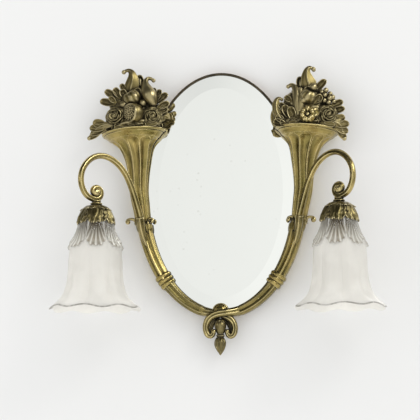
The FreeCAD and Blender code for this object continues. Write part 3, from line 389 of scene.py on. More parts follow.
def frosted_glass():
    """Frosted on the body; on the moulded leaves clear, with a pale line down each rib; painted shade on the leaves'
    tops and the rim's front edge.
    """
    finish = Finish("acid_frosted_glass")
    leaf, rib, rim = (finish.attribute(name) for name in ("moulded_leaf", "leaf_rib", "rim_shade_line"))
    cloud = finish.noise(24.0, 3.0, 0.5)
    ripple = finish.noise(110.0, 2.0, 0.5)
    edge = finish.node("LayerWeight", {}, {"Blend": 0.30}, output=1).between(0.42, 1.0)
    side = finish.node("LayerWeight", {}, {"Blend": 0.5}, output=1).between(0.08, 0.38)
    mottled = finish.mix(cloud.between(0.38, 0.62), (0.760, 0.750, 0.715), (0.845, 0.835, 0.80))
    frost = finish.mix(edge, mottled, (0.56, 0.55, 0.52))
    # Painted shade: the clear leaves turn dark brown towards their tops, where they lie in the shade under the cap
    # with the dark lampholder behind them.
    high = finish.axis(finish.place(), 2).between(-0.186, -0.158)
    rib = rib * (1 - high * 0.75)
    clear = finish.mix(rib, finish.mix(high, (0.24, 0.205, 0.150), (0.060, 0.044, 0.024)), (0.86, 0.84, 0.78))
    clear = finish.mix(side * 0.60, clear, (0.60, 0.59, 0.53))
    # The rim's front edge is painted grey: a line of painted shade.
    rim = rim * (0.55 + ripple.between(0.35, 0.6) * 0.45)
    tone = finish.mix(rim, finish.mix(leaf, frost, clear), (0.30, 0.29, 0.26))
    skin = finish.bump(cloud + ripple * leaf, 0.0004, 0.4)
    solid = ((edge * 0.16 + 0.80 + cloud * 0.05) - leaf * (0.24 - rib * 0.24) + rim * 0.2).clamped()
    body = finish.node("BsdfPrincipled", {}, {
        "Base Color": tone, "Roughness": 0.46 - leaf * 0.36, "Normal": skin, "IOR": 1.5, "Alpha": solid})
    glow = finish.node("BsdfTranslucent", {}, {"Color": (0.93, 0.915, 0.88, 1.0)})
    share = (0.38 - leaf * 0.30 - rim * 0.25).clamped()
    return finish.show(finish.node("MixShader", {}, {0: share, 1: body, 2: glow}))


mirror_silver = silvered_glass()
shade_glass = frosted_glass()

# %% [markdown]
# ## Ways of making
#
# Most of the castings are long shapes whose section changes along a line: a horn, a stem, a leaf, a
# strap. Each starts as a flat grid, which is then rolled or bent into place: `along` runs down the
# piece and `across` round it. Where the sides meet, the doubled points are merged, so the skin is
# closed. Turned pieces are an outline spun about an upright axis.


# %% Modelling helpers
def activate(piece):
    """Select this piece alone."""
    bpy.ops.object.select_all(action="DESELECT")
    piece.select_set(True)
    bpy.context.view_layer.objects.active = piece


def edit_all(piece):
    """Open a piece for editing with every point selected."""
    activate(piece)
    bpy.ops.object.mode_set(mode="EDIT")
    bpy.ops.mesh.select_all(action="SELECT")


def close_skin(piece, gap=2e-6):
    """Merge doubled points and turn every face outwards."""
    edit_all(piece)
    bpy.ops.mesh.remove_doubles(threshold=gap)
    bpy.ops.mesh.dissolve_degenerate(threshold=gap)
    bpy.ops.mesh.normals_make_consistent(inside=False)
    bpy.ops.object.mode_set(mode="OBJECT")
    bpy.ops.object.shade_smooth()
    return piece


def bent_grid(columns, rows, place):
    """A grid whose points are moved to place(across, along), both from 0 to 1."""
    bpy.ops.mesh.primitive_grid_add(x_subdivisions=columns, y_subdivisions=rows, size=2.0)
    piece = bpy.context.object
    for point in piece.data.vertices:
        point.co = place((point.co.x + 1) / 2, (point.co.y + 1) / 2)
    return close_skin(piece)


def modify(piece, kind, **settings):
    """Add a modifier and apply it."""
    activate(piece)
    modifier = piece.modifiers.new(kind.lower(), kind)
    for name, value in settings.items():
        setattr(modifier, name, value)
    bpy.ops.object.modifier_apply(modifier=modifier.name)


def thicken(piece, thickness):
    """Give a sheet its thickness, both ways, and round its edges."""
    modify(piece, "SOLIDIFY", thickness=thickness * mm, offset=0.0)
    modify(piece, "SUBSURF", levels=1, render_levels=1)
    bpy.ops.object.shade_smooth()
    return piece


def smooth_value(stations, at):
    """The value at a place between stations of (place, value, ...), on a smooth curve."""
    if at <= stations[0][0]:
        return stations[0][1:]
    if at >= stations[-1][0]:
        return stations[-1][1:]
    index = max(i for i, station in enumerate(stations) if station[0] <= at)
    index = min(index, len(stations) - 2)
    before, after = stations[index], stations[index + 1]
    earlier = stations[max(index - 1, 0)]
    later = stations[min(index + 2, len(stations) - 1)]
    span = after[0] - before[0]
    share = (at - before[0]) / span
    values = []
    for a, b, c, d in zip(earlier[1:], before[1:], after[1:], later[1:]):
        slope_b = (c - a) / (after[0] - earlier[0]) * span
        slope_c = (d - b) / (later[0] - before[0]) * span
        values.append(b + share * (slope_b + share * (3 * (c - b) - 2 * slope_b - slope_c
                      + share * (2 * (b - c) + slope_b + slope_c))))
    return tuple(values)


def step(low, high, value):
    """0 below low, 1 above high, smooth between them."""
    share = min(max((value - low) / (high - low), 0.0), 1.0)
    return share * share * (3 - 2 * share)


def spun(outline, x, y, steps=64):
    """A turned piece: a closed outline of (radius, height) spun about an upright axis."""
    bpy.ops.mesh.primitive_circle_add(vertices=len(outline))
    piece = bpy.context.object
    for point, (radius, height) in zip(piece.data.vertices, outline):
        point.co = spot(x + radius, y, height)
    edit_all(piece)
    bpy.ops.mesh.spin(steps=steps, angle=math.tau, center=spot(x, y, 0), axis=(0, 0, 1))
    bpy.ops.object.mode_set(mode="OBJECT")
    return close_skin(piece)


def rounded(points, steps=6):
    """More points along a smooth curve through an open outline."""
    stations = [(index,) + tuple(point) for index, point in enumerate(points)]
    last = len(points) - 1
    return [smooth_value(stations, last * count / (steps * last)) for count in range(steps * last + 1)]


def joined(*pieces):
    """Several meshes as one object."""
    activate(pieces[0])
    for piece in pieces:
        piece.select_set(True)
    bpy.ops.object.join()
    return bpy.context.object


def twin(piece):
    """The mirror image of a piece, on the other side of the glass."""
    other = piece.copy()
    other.data = piece.data.copy()
    bpy.context.scene.collection.objects.link(other)
    other.data.transform(Matrix.Scale(-1, 4, (1, 0, 0)))
    other.data.flip_normals()
    return other


def fit(piece, name, finish, nodes=(), body="root"):
    """Give a piece its name, finish, body to ride on and nodes to replace."""
    piece.name = name
    piece.data.materials.clear()
    piece.data.materials.append(finish)
    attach(piece, body)
    if nodes:
        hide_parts(*nodes)
    print(f"{piece.name}: {len(piece.data.polygons)} faces")


def fit_pair(piece, name, finish, node, body="root"):
    """Fit the right-hand piece and its twin on the left."""
    other = twin(piece)
    for side, made in (("right_", piece), ("left_", other)):
        fit(made, side + name, finish, [side + node], body if body == "root" else side + body)


# %% [markdown]
# A swept piece follows a path. At each step the path has a direction, a side and a front, and the
# section is given as (sideways, forwards) from the path, in millimetres. Leaves, arms, curls and
# straps are all made by it: an open section gives a sheet, a closed one gives a bar. Berries, seeds
# and gourds start as balls.


# %% Sweeping along a path
def path_place(points, along):
    """The place and direction on the soft curve that a path's points draw towards themselves."""
    corners = [Vector(point) for point in points]
    middles = [(a + b) / 2 for a, b in zip(corners, corners[1:])]
    middles[0], middles[-1] = corners[0], corners[-1]
    count = len(corners) - 2
    index = min(int(along * count), count - 1)
    share = along * count - index
    start, corner, end = middles[index], corners[index + 1], middles[index + 1]
    here = start * (1 - share) ** 2 + corner * (2 * share * (1 - share)) + end * share ** 2
    way = (corner - start) * (1 - share) + (end - corner) * share
    return here, way.normalized()


def swept(points, columns, rows, section, front=(0, -1, 0)):
    """A grid laid along a path; section(across, along) gives its offsets in millimetres."""
    face = Vector(front).normalized()
    steps = {}

    def place(across, along):
        key = round(along, 6)
        if key not in steps:
            here, way = path_place(points, along)
            side = way.cross(face).normalized()
            steps[key] = here, side, side.cross(way).normalized()
        here, side, ahead = steps[key]
        sideways, forwards = section(across, along)
        return spot(*(here + side * sideways + ahead * forwards))

    return bent_grid(columns, rows, place)


def ball(radius, place=None, rings=16):
    """A ball at a place, or round the origin when it is to be shaped first."""
    bpy.ops.mesh.primitive_uv_sphere_add(segments=rings * 2, ring_count=rings, radius=radius * mm)
    piece = bpy.context.object
    if place is not None:
        piece.data.transform(Matrix.Translation(spot(*place)))
    bpy.ops.object.shade_smooth()
    return piece


def lump(size, rings, grow=lambda way: 1.0):
    """A ball round the origin with three half sizes, swollen by grow(way) in each direction."""
    piece = ball(1.0, None, rings)
    for point in piece.data.vertices:
        way = point.co.normalized()
        point.co = Vector([way[axis] * size[axis] for axis in range(3)]) * mm * grow(way)
    return piece


# %% [markdown]
# ## The mirror glass
#
# An oval plate with a wide ground bevel. A cylinder is scaled to the oval, its front face is
# inset, and the inset part is pushed forward by the bevel's rise. The edge between bevel and field
# stays sharp: it is the line that makes a bevelled mirror sparkle.

# %% Mirror
glass_half_width, glass_half_height = 131.0, 205.5
glass_back, bevel_edge, glass_front = -15.0, -17.5, -20.0
bevel_width = 25.0


def bevelled_glass():
    bpy.ops.mesh.primitive_cylinder_add(vertices=256, radius=1.0, depth=(glass_back - bevel_edge) * mm)
    piece = bpy.context.object
    bpy.ops.object.mode_set(mode="EDIT")
    mesh = bmesh.from_edit_mesh(piece.data)
    bpy.ops.mesh.select_all(action="DESELECT")
    for face in mesh.faces:
        face.select = face.normal.z > 0.9
    bmesh.update_edit_mesh(piece.data)
    bpy.ops.mesh.extrude_region_move(TRANSFORM_OT_translate={"value": (0, 0, (bevel_edge - glass_front) * mm)})
    bpy.ops.transform.resize(value=(1 - bevel_width / glass_half_width, 1 - bevel_width / glass_half_height, 1))
    bpy.ops.object.mode_set(mode="OBJECT")
    piece.data.transform(Matrix.Diagonal((glass_half_width * mm, glass_half_height * mm, 1, 1)))
    piece.data.transform(Matrix.Rotation(math.radians(90), 4, "X"))
    piece.data.transform(Matrix.Translation(spot(0, (glass_back + bevel_edge) / 2, 0)))
    activate(piece)
    bpy.ops.object.shade_smooth_by_angle(angle=math.radians(3))
    return piece


fit(bevelled_glass(), "bevelled_mirror", mirror_silver, ["mirror_glass"])

# %% [markdown]
# ## Horns and stems
#
# Every bracket casting has the same section: a round front, and a flat back that steps forward to
# clear the tray round the glass. `half_round` gives that section at one place of a casting, and a
# relief function raises or sinks its round front to carve flutes, ribs and lines into it.

# %% The castings' section
seat_y, back_y = -20.5, -8.0
tray_room = (133.3, 207.8)      # half width and half height of the oval that the tray needs
# shares of the columns up to the end of the round front, the side, the back and the step inwards
round_share, side_share, back_share, step_share = 0.7, 0.76, 0.86, 0.90


def tray_edge(middle, outward, half, grow):
    """How far out from its middle a casting's back meets the tray's room."""
    across, up = tray_room[0] + grow, tray_room[1] + grow
    px, pz = middle[0] / across, middle[1] / up
    ox, oz = outward[0] / across, outward[1] / up
    a, b, c = ox * ox + oz * oz, 2 * (px * ox + pz * oz), px * px + pz * pz - 1
    out = (math.sqrt(max(b * b - 4 * a * c, 0.0)) - b) / (2 * a)
    return min(max(out, -half), half)


def half_round(across, middle, outward, half, relief=0.0, under=seat_y, back=back_y, grow=0.0):
    """A place on the skin: the front first, then the side, the back and the step over the tray."""
    edge = tray_edge(middle, outward, half, grow)
    if across <= round_share:
        turn = across / round_share * math.pi
        lift = relief(math.degrees(turn)) if callable(relief) else relief
        out = -(half + lift) * math.cos(turn)
        y = under - (half * 0.95 + lift) * math.sin(turn)
    elif across <= side_share:
        out, y = half, under + (back - under) * (across - round_share) / (side_share - round_share)
    elif across <= back_share:
        out, y = half + (edge - half) * (across - side_share) / (back_share - side_share), back
    elif across <= step_share:
        out, y = edge, back + (under - back) * (across - back_share) / (step_share - back_share)
    else:
        out, y = edge + (-half - edge) * (across - step_share) / (1 - step_share), under
    return Vector((middle[0] + outward[0] * out, y, middle[1] + outward[1] * out))


def cap_ends(piece):
    """Close the open ends of a skin."""
    activate(piece)
    bpy.ops.object.mode_set(mode="EDIT")
    bpy.ops.mesh.select_all(action="DESELECT")
    bpy.ops.mesh.select_mode(type="EDGE")
    bpy.ops.mesh.select_non_manifold(extend=False)
    bpy.ops.mesh.fill_holes(sides=0)
    bpy.ops.mesh.select_mode(type="VERT")
    bpy.ops.mesh.select_all(action="SELECT")
    bpy.ops.mesh.normals_make_consistent(inside=False)
    bpy.ops.object.mode_set(mode="OBJECT")
    return piece


def ridges(turn, *lines):
    """The height that ridges give at a turn; each is (place and width in degrees, height)."""
    return sum(height * math.exp(-((turn - place) / width) ** 2) for place, width, height in lines)


def off_seam(turn, width):
    """0 at both edges of a round front, where relief would open the seam, and 1 further in."""
    return step(0, width, min(turn, 180 - turn))


# %% [markdown]
# ### The horns
#
# Five wide flutes run up each horn and stop in shadowed arches under its mouth. Above them come a
# small step, a hollow band, a dark groove and a rounded lip. The mouth tilts down a little towards
# its outer side.

# %% Horns
horn_stations = [
    (-58, 132.6, 12.8), (-40, 134.3, 13.2), (-15, 138.3, 14.9), (2, 140.7, 15.7), (19, 141.3, 16.6),
    (36, 141.7, 18.4), (53, 142.4, 21.3), (70, 144.3, 25.8), (82, 146.3, 31.5), (91, 148.2, 40.5),
    (98, 149.2, 49.5), (103, 149.5, 54.3),
]
# share of the rows, height, how far the skin stands off the horn's outline
mouth_profile = [
    (0.0, -58.0, 0.0), (0.70, 90.5, 0.0), (0.71, 91.4, 0.0), (0.73, 92.2, 1.1), (0.745, 93.4, 0.9),
    (0.79, 96.6, -0.8), (0.83, 99.4, -0.4), (0.84, 99.9, -1.7), (0.85, 100.2, -1.5), (0.86, 100.5, 0.4),
    (0.88, 101.9, 1.5), (0.90, 103.6, 1.0), (0.91, 104.3, -0.6), (0.93, 104.2, -2.6), (0.95, 102.8, -3.8),
    (1.0, 88.0, -4.4),
]


def between_stations(stations, at):
    """Straight shares between stations."""
    for before, after in zip(stations, stations[1:]):
        if at <= after[0]:
            share = (at - before[0]) / (after[0] - before[0])
            return [b + (a - b) * share for b, a in zip(before[1:], after[1:])]
    return list(stations[-1][1:])


def flute(height):
    """The flutes' relief at one height of the horn."""
    depth = 1.9 + 2.6 * step(-30, 75, height)

    def relief(turn):
        pitch = (turn + 6.0) / 38.0 % 1.0
        share = min(max((pitch - 0.07) / 0.86, 0.0), 1.0)
        hollow = math.sin(math.pi * share) ** 0.75
        arch_end = 90.4 - 4.6 * (2 * share - 1) ** 2
        return off_seam(turn, 7) * (0.5 - depth * hollow * (1 - step(arch_end - 1.0, arch_end + 0.4, height)))
    return relief


def horn_place(across, along):
    height, stand = between_stations(mouth_profile, along)
    middle, half = smooth_value(horn_stations, min(height, 103.0))
    inner = min(max((-2.4 - stand) / 1.8, 0.0), 1.0)
    relief = flute(height) if height < 92 and stand > -1 else 0.0
    point = half_round(across, (middle, height), (1, 0), half + stand, relief,
                       seat_y - 4 * inner, back_y - 10 * inner, 4 * inner)
    tilt = math.radians(4.6) * min(max((height - 36) / 67, 0.0), 1.0)
    side, up = point.x - middle, point.z - height
    return spot(middle + side * math.cos(tilt) + up * math.sin(tilt), point.y,
                height - side * math.sin(tilt) + up * math.cos(tilt))


fit_pair(cap_ends(bent_grid(200, 240, horn_place)), "fluted_horn", bracket_brass, "horn")

# %% [markdown]
# ### Stems and bands
#
# Below the leaf collar the bracket follows the oval. The upper stem has a broad doubled ridge down
# its front. Three ribs bind it to the lower stem, which carries two fine lines and grows slimmer
# towards the knot.

# %% Stems and bands
stem_stations = [(11.5, 12.6), (46.5, 11.0), (52.5, 10.0), (75.0, 8.6), (84.5, 5.2), (90.0, 4.0)]


def oval_frame(angle):
    """The stem's middle and its outward way, degrees below the side of the oval."""
    turn = math.radians(angle)
    outward = Vector((math.cos(turn) / 135.5, -math.sin(turn) / 209.0)).normalized()
    return (135.5 * math.cos(turn), -209.0 * math.sin(turn)), outward


def upper_lines(turn):
    return off_seam(turn, 16) * ridges(turn, (96, 12, 2.6), (70, 9, -1.8), (121, 8, -1.8), (143, 11, 0.9),
                                       (46, 13, 0.7), (24, 7, -0.8))


def lower_lines(turn):
    return off_seam(turn, 18) * ridges(turn, (62, 10, 1.5), (118, 10, 1.5), (90, 11, -1.2), (38, 8, -1.0),
                                       (142, 8, -1.0))


def stem(first, last, lines):
    """A stem between two angles of the oval, with its lines in relief."""
    def place(across, along):
        angle = first + (last - first) * along
        middle, outward = oval_frame(angle)
        half = between_stations(stem_stations, angle)[0]
        thin = min(half / 9.0, 1.0)
        return spot(*half_round(across, middle, outward, half, lambda turn: lines(turn) * thin))
    return cap_ends(bent_grid(120, 90, place))


fit_pair(stem(15.2, 46.5, upper_lines), "ridged_stem", bracket_brass, "upper_stem")


def band_place(across, along):
    angle = 42.8 + 7.4 * along
    middle, outward = oval_frame(angle)
    rib = abs(math.sin(math.pi * (along * 3))) ** 0.55
    stand = 0.6 + 2.2 * rib if 0.01 < along < 0.99 else 0.5
    half = between_stations(stem_stations, angle)[0] + 0.3
    return spot(*half_round(across, middle, outward, half + stand))


fit_pair(cap_ends(bent_grid(120, 60, band_place)), "ribbed_band", bracket_brass, "stem_band")

# %% [markdown]
# ### Curled and wrapped leaves
#
# Two kinds of leaf serve the whole object. A `wrapped_leaf` lies on a turned form, such as the small
# cap over the berry or the bud below the knot. A free leaf is swept along its own midrib, and its
# `lobes` cut its edge into the notches of an acanthus leaf. A `curl_bar` ends many of them.


# %% Leaves
def wrapped_leaf(axis, profile, facing, half_angle, lift, columns, rows, thickness):
    """A leaf on a turned form: profile(along) gives its radius and height, half_angle its width."""
    def place(across, along):
        radius, height = profile(along)
        sideways = 2 * across - 1
        turn = math.radians(facing + sideways * half_angle(along))
        radius += lift(sideways, along)
        return spot(axis[0] + radius * math.sin(turn), axis[1] - radius * math.cos(turn), height)
    return thicken(bent_grid(columns, rows, place), thickness)


def leaf_width(along, lobes, notch, widest):
    """The outline of a lobed leaf, from 0 to 1 at its widest."""
    share = along / widest if along < widest else 1 + (along - widest) / (1 - widest)
    body = math.sin(math.pi / 2 * share)
    teeth = abs(math.sin(math.pi * lobes * along)) ** 0.6
    return max(body, 0.0) ** 0.75 * (1 - notch + notch * teeth) + 0.03


def acanthus(points, half_width, lobes=3, notch=0.4, cup=0.25, thickness=1.4, widest=0.45):
    """A leaf swept along its midrib; it is cupped, ribbed and cut into lobes."""
    def section(across, along):
        sideways = 2 * across - 1
        width = half_width * leaf_width(along, lobes, notch, widest)
        rib = math.cos(sideways * math.pi * 4 - along * 5.0 * abs(sideways)) * 0.055
        vein = math.exp(-(sideways / 0.10) ** 2) * 0.13
        return sideways * width, (rib + vein) * half_width * (1 - 0.5 * along) - cup * width * sideways ** 2
    return thicken(swept(points, 18, 30, section), thickness)


def curl_bar(points, radius, columns=16):
    """A bar of round section along a path; radius(along) gives its size."""
    def section(across, along):
        turn = across * math.tau
        return radius(along) * math.cos(turn), radius(along) * math.sin(turn)
    return cap_ends(swept(points, columns, 44, section))


# %% [markdown]
# ### The leaf collars
#
# A leafy sheath hides the joint of horn and stem. Its rim falls in notches between the leaves, two
# small tips curl away to the sides, and a stout root in front takes the arm's foot.

# %% Collars
foot = (134.0, -44.0)


def sheath_place(across, along):
    turn = 180 * (across / round_share if across <= round_share else (1 - across) / (1 - round_share))
    crest = -47.0 - 10.0 * max(1 - abs(turn - 62) / 20, 0.0) - 3.0 * max(1 - abs(turn - 150) / 16, 0.0)
    height = -69.0 + (crest + 69.0) * along
    middle, outward = oval_frame(math.degrees(math.asin(min(-height / 209.0, 1.0)))) if height < -56 \
        else ((smooth_value(horn_stations, max(height, -58.0))[0], height), Vector((1, 0)))
    middle = (middle[0], height)
    wall = 0.3 + 1.0 * step(0.0, 0.30, along) - 0.9 * step(0.78, 0.90, along) + 1.3 * step(0.88, 1.0, along)

    def lines(turned):
        return off_seam(turned, 18) * ridges(turned, (76, 9, 1.1), (134, 9, 1.1), (55, 7, -0.9), (98, 6, -0.9),
                                             (150, 6, -0.9))
    return spot(*half_round(across, middle, (1, 0), 13.1 + wall, lines))


def side_tip(side, reach, height, size):
    """A leaf tip that curls away from the collar into a small ball."""
    x = 134.5 + side * 9.0
    end = x + side * reach
    points = [(x - side * 2, -23, height - 7), (x + side, -25, height + 0.5), (x + side * 4, -27, height + 3.6),
              (x + side * (reach - 3.5), -28, height + 4.0), (end + side * 2.4, -28.5, height + 1.8),
              (end + side * 0.6, -28.5, height - 2.0)]
    bar = curl_bar(points, lambda along: 2.7 - 0.9 * step(0.25, 0.9, along))
    return joined(bar, ball(size, (end - side * 0.6, -28.6, height - 1.2), 14))


def foot_section(across, along):
    """The arm's foot: a stout root with a ridge down its front, running out into the stem."""
    turn = math.degrees(across * math.tau)
    size = 6.9 - 1.6 * step(0.1, 0.6, along) - 3.0 * step(0.55, 1.0, along)
    size += ridges(turn, (90, 16, 0.9), (55, 10, -0.5), (125, 10, -0.5)) * (1 - step(0.8, 1.0, along))
    return size * math.cos(across * math.tau), size * 1.50 * math.sin(across * math.tau)


root_path = [(0, 0, -48), (-0.4, 1, -55), (-2, 6, -68), (-5.5, 13.5, -82), (-10.8, 21, -98), (-16.4, 26, -112)]
root = [(foot[0] + right, foot[1] + back, height) for right, back, height in root_path]
collar = joined(cap_ends(bent_grid(160, 60, sheath_place)), cap_ends(swept(root, 48, 60, foot_section)),
                side_tip(1, 14.5, -51.0, 4.4), side_tip(-1, 10.0, -50.0, 3.2))
fit_pair(collar, "leafy_collar", strap_brass, "leaf_collar")

# %% [markdown]
# ## Arms
#
# Each arm springs from the collar's root, sweeps up and over, and closes in a volute above the lamp,
# round a smooth heart. Two fine raised lines follow its front. The scroll lies in a plane that stands
# out from the wall by 40 degrees.

# %% Arms
swing = math.radians(40.0)


def scroll(reach, height):
    """A point in the scroll's own plane."""
    return (foot[0] + reach * math.cos(swing), foot[1] - reach * math.sin(swing), height)


eye = (87.4, -12.4)               # the middle of the volute
sweep = [(0, -56), (0, -47.5), (6.5, -29), (13.6, -9), (21.5, 10), (32, 27.5), (46.5, 41.5), (66, 50.5), (86, 50),
         (103, 39.5), (114, 23), (116.5, 5), (112, -10), (104, -20)]
coil = []
for index in range(10):
    turn = math.radians(-66 - 40 * index)
    radius = 12.9 - 0.70 * index - 0.05 * index ** 2
    coil.append((eye[0] + radius * math.cos(turn), eye[1] + radius * math.sin(turn)))
arm_route = [scroll(*point) for point in sweep + coil]


def arm_section(across, along):
    turn = math.degrees(across * math.tau)
    size = 5.9 - 0.9 * step(0.0, 0.2, along)
    size += ridges(turn, (62, 9, 0.45), (118, 9, 0.45)) * (1 - step(0.9, 1.0, along))
    return size * math.cos(across * math.tau), size * math.sin(across * math.tau)


arm_front = (-math.sin(swing), -math.cos(swing), 0)
heart = lump((7.6, 7.4, 7.6), 18)
heart.data.transform(Matrix.Rotation(-swing, 4, "Z"))
heart.data.transform(Matrix.Translation(spot(*scroll(eye[0] + 0.2, eye[1] - 0.6))))
arm = joined(cap_ends(swept(arm_route, 40, 300, arm_section, arm_front)), heart)
fit_pair(arm, "scrolled_arm", lamp_brass, "arm")

# %% [markdown]
# ## Leaf caps and shades
#
# A turned neck sits under the volute. Below it a cap of overlapping leaves covers the shade's
# shoulder: six leaves in front of six, each ribbed, with a scalloped edge that curls outwards, and
# five small ones round the neck.

# %% Leaf caps
lamp = (199.88, -99.28)
cap_stations = [(0.0, 9.5, -34.8), (0.16, 16.5, -37.4), (0.34, 22.8, -43.0), (0.54, 26.8, -50.5),
                (0.78, 29.6, -58.5), (1.0, 28.6, -68.3)]


def cap_leaf(facing, stand, reach, half_angle, lean):
    """One acanthus leaf of the cap: it leans, its veins sweep to its lobes, and the lobes' tips turn out."""
    def place(across, along):
        sideways = 2 * across - 1
        lobes = abs(math.sin(math.pi * (3.0 * abs(sideways) + 0.5)))
        edge = 1.0 - 0.10 * sideways ** 2 - 0.06 * (1 - lobes)
        share = along * edge * reach
        radius, height = smooth_value(cap_stations, share)
        notch = 0.20 * (1 - abs(math.sin(math.pi * 3 * along))) * step(0.25, 0.45, along)
        width = half_angle * (0.40 + 0.68 * math.sin(math.pi * min(0.10 + along * 0.55, 0.62)) ** 1.3 - notch)
        width *= 1 - 0.34 * step(0.80, 1.0, along) * abs(sideways)
        sweep_out = sideways * 3.0 - 1.3 * math.copysign(1, sideways) * (1 - along)
        rib = math.cos(sweep_out * math.pi) * 1.05 * step(0.05, 0.35, along)
        vein = 1.2 * math.exp(-(sideways / 0.11) ** 2)
        knuckle = 1.9 * step(0.84, 0.97, along) * (0.35 + 0.65 * lobes) * (1 - 0.7 * step(0.97, 1.0, along))
        radius += stand + rib + vein - 1.2 * sideways ** 2 + knuckle
        turn = math.radians(facing + sideways * width + lean * math.sin(math.pi * along * 0.8))
        return spot(lamp[0] + radius * math.sin(turn), lamp[1] - radius * math.cos(turn), height)
    return thicken(bent_grid(44, 48, place), 1.2)


cap_core = spun(rounded([(8.6, -34.6), (16.0, -37.0), (22.3, -43.0), (26.4, -51.0), (28.2, -66.0)])
                + [(27.2, -66.0)] + rounded([(25.4, -52.0), (21.0, -44.6), (15.2, -38.8), (8.6, -36.6)]), *lamp, 72)
cap_leaves = [cap_leaf(60 * index + 34, -0.4, 0.97, 33, 7) for index in range(6)]
cap_leaves += [cap_leaf(60 * index + 3, 0.7, 1.0, 30, -9) for index in range(6)]
cap_leaves += [cap_leaf(72 * index + 20, 1.0, 0.34, 38, 0) for index in range(5)]
fit_pair(joined(cap_core, *cap_leaves), "leaf_cap", cap_brass, "leaf_canopy")

neck = spun(rounded([(5.2, -26.8), (7.4, -26.6), (7.9, -28.0), (6.6, -29.2), (9.0, -30.4), (9.8, -31.8),
                     (8.8, -33.2), (7.2, -33.8), (9.6, -34.8)]) + [(5.2, -34.9)], *lamp)
fit_pair(neck, "turned_neck", lamp_brass, "neck_ring")

# %% [markdown]
# ### The tulip shades
#
# The shade is one skin, outside and inside, run round as a closed outline. Seven fan-ribbed leaves
# are moulded in relief round its shoulder with their tips turned out. Below them the glass falls in
# soft folds that end in a wavy rim. Point attributes say where the leaves and their ribs are and
# where the rim's front edge is, so one finish can be frosted on the body, clear on the leaves and
# grey along the rim's front edge, a line of painted shade.

# %% Shades
shade_top = -55.0
shade_outline = [
    (14.6, 0.0), (20.0, 0.0), (25.5, 3.0), (28.0, 9.0), (30.3, 20.0), (34.5, 31.0), (39.5, 43.0), (42.6, 55.0),
    (44.0, 72.0), (44.6, 90.0), (47.5, 113.0), (53.3, 129.0), (60.5, 138.0), (68.0, 145.0), (74.0, 150.0),
]
shade_inside = [(72.4, 150.6), (64.6, 144.6), (57.0, 137.2), (50.2, 128.6), (44.0, 113.0), (40.8, 90.0),
                (40.2, 72.0), (38.8, 55.0), (35.8, 43.0), (31.0, 32.5), (26.8, 21.5), (24.5, 11.0), (22.0, 6.0),
                (19.0, 4.0), (14.6, 4.0)]
shade_loop = shade_outline + shade_inside + shade_outline[:1]
shade_stations = [(index,) + point for index, point in enumerate(shade_loop)]
leaf_pitch = 360.0 / 7         # seven leaves
first_leaf = -10.0             # the first leaf's middle, in degrees from the front


def leaf_relief(turn, drop):
    """A moulded leaf: how far it stands off the glass, how far inside it a place is, and its ribs."""
    half_pitch = leaf_pitch / 2
    share = ((turn - first_leaf + half_pitch) % leaf_pitch - half_pitch) / half_pitch
    fan = math.atan2(share * 21.0, drop + 6.0)
    scallop = abs(math.cos(fan * 7.5 / 0.42))
    lower = 51.0 - 17.0 * abs(share) ** 3.2 + 2.8 * scallop
    side = 0.88 + 0.10 * step(4, 26, drop)
    inside = (1 - step(lower - 1.8, lower, drop)) * (1 - step(side - 0.06, side + 0.02, abs(share)))
    inside *= step(3.0, 7.0, drop)
    rib = 0.5 + 0.5 * math.cos(fan * 15.0 / 0.42)
    ribs = 1.1 * (rib - 0.5) * step(6, 22, drop)
    tip = 3.4 * step(lower - 13, lower - 2, drop) * (1 - 0.4 * abs(share))
    outline = step(lower - 3.6, lower - 1.4, drop)
    return inside * (1.2 + ribs + tip), inside, rib ** 2.6 * step(12, 36, drop) * (1 - 0.75 * outline)


def teardrop(turn, drop):
    """The small drop between two leaves."""
    off = (turn - first_leaf) % leaf_pitch - leaf_pitch / 2
    return 1.4 * math.exp(-(off / 2.6) ** 2 - ((drop - 47.0) / 6.0) ** 2)


def wave(turn, count, start):
    return math.cos(math.radians(turn * count + start))


def rim_wave(turn):
    """How far the rim hangs below its mean height."""
    return 2.2 * wave(turn, 8, 152) + 0.9 * wave(turn, 3, 40)


def shade_place(across, along):
    turn = across * 360.0
    radius, drop = smooth_value(shade_stations, along * (len(shade_loop) - 1))
    outer = along * (len(shade_loop) - 1) < len(shade_outline) - 0.5
    folds = 2.2 * abs(wave(turn, 4, 76)) ** 0.8 - 1.3 + 0.3 * wave(turn, 16, 75)
    low = step(58, 150, drop)
    radius += folds * (0.55 * step(50, 70, drop) + 1.75 * low) * (1 if outer else 0.85) - 0.9 * low
    drop += step(134, 151, drop) * rim_wave(turn)
    if outer and drop < 60:
        radius += leaf_relief(turn, drop)[0] + teardrop(turn, drop)
    angle = math.radians(turn)
    return spot(lamp[0] + radius * math.sin(angle), lamp[1] - radius * math.cos(angle), shade_top - drop)


def paint(piece):
    """Keep in point attributes where the moulded leaves and their ribs are, and where the rim's front edge gets a
    line of painted shade.
    """
    masks = [piece.data.attributes.new(name, "FLOAT", "POINT") for name in ("moulded_leaf", "leaf_rib", "rim_shade_line")]
    for index, point in enumerate(piece.data.vertices):
        x, y = point.co.x / mm - lamp[0], point.co.y / mm - lamp[1]
        drop = shade_top - (point.co.z - middle_height) / mm
        turn = math.degrees(math.atan2(x, -y))
        inside, rib = leaf_relief(turn, drop)[1:] if drop < 60 else (0.0, 0.0)
        # Painted shade: a grey line along the rim, on its front half only.
        rim = step(147.9, 149.2, drop - rim_wave(turn)) if y < 0 else 0.0
        for mask, value in zip(masks, (inside, rib, rim)):
            mask.data[index].value = value
    return piece


shade = paint(bent_grid(336, 220, shade_place))
fit_pair(shade, "tulip_shade", shade_glass, "glass_shade", "shade")

# %% [markdown]
# ## The knot
#
# The two lower stems narrow to straps that cross at the bottom. The right one passes in front; each
# curls round below and ends in a small ball. A round boss rises behind the crossing.

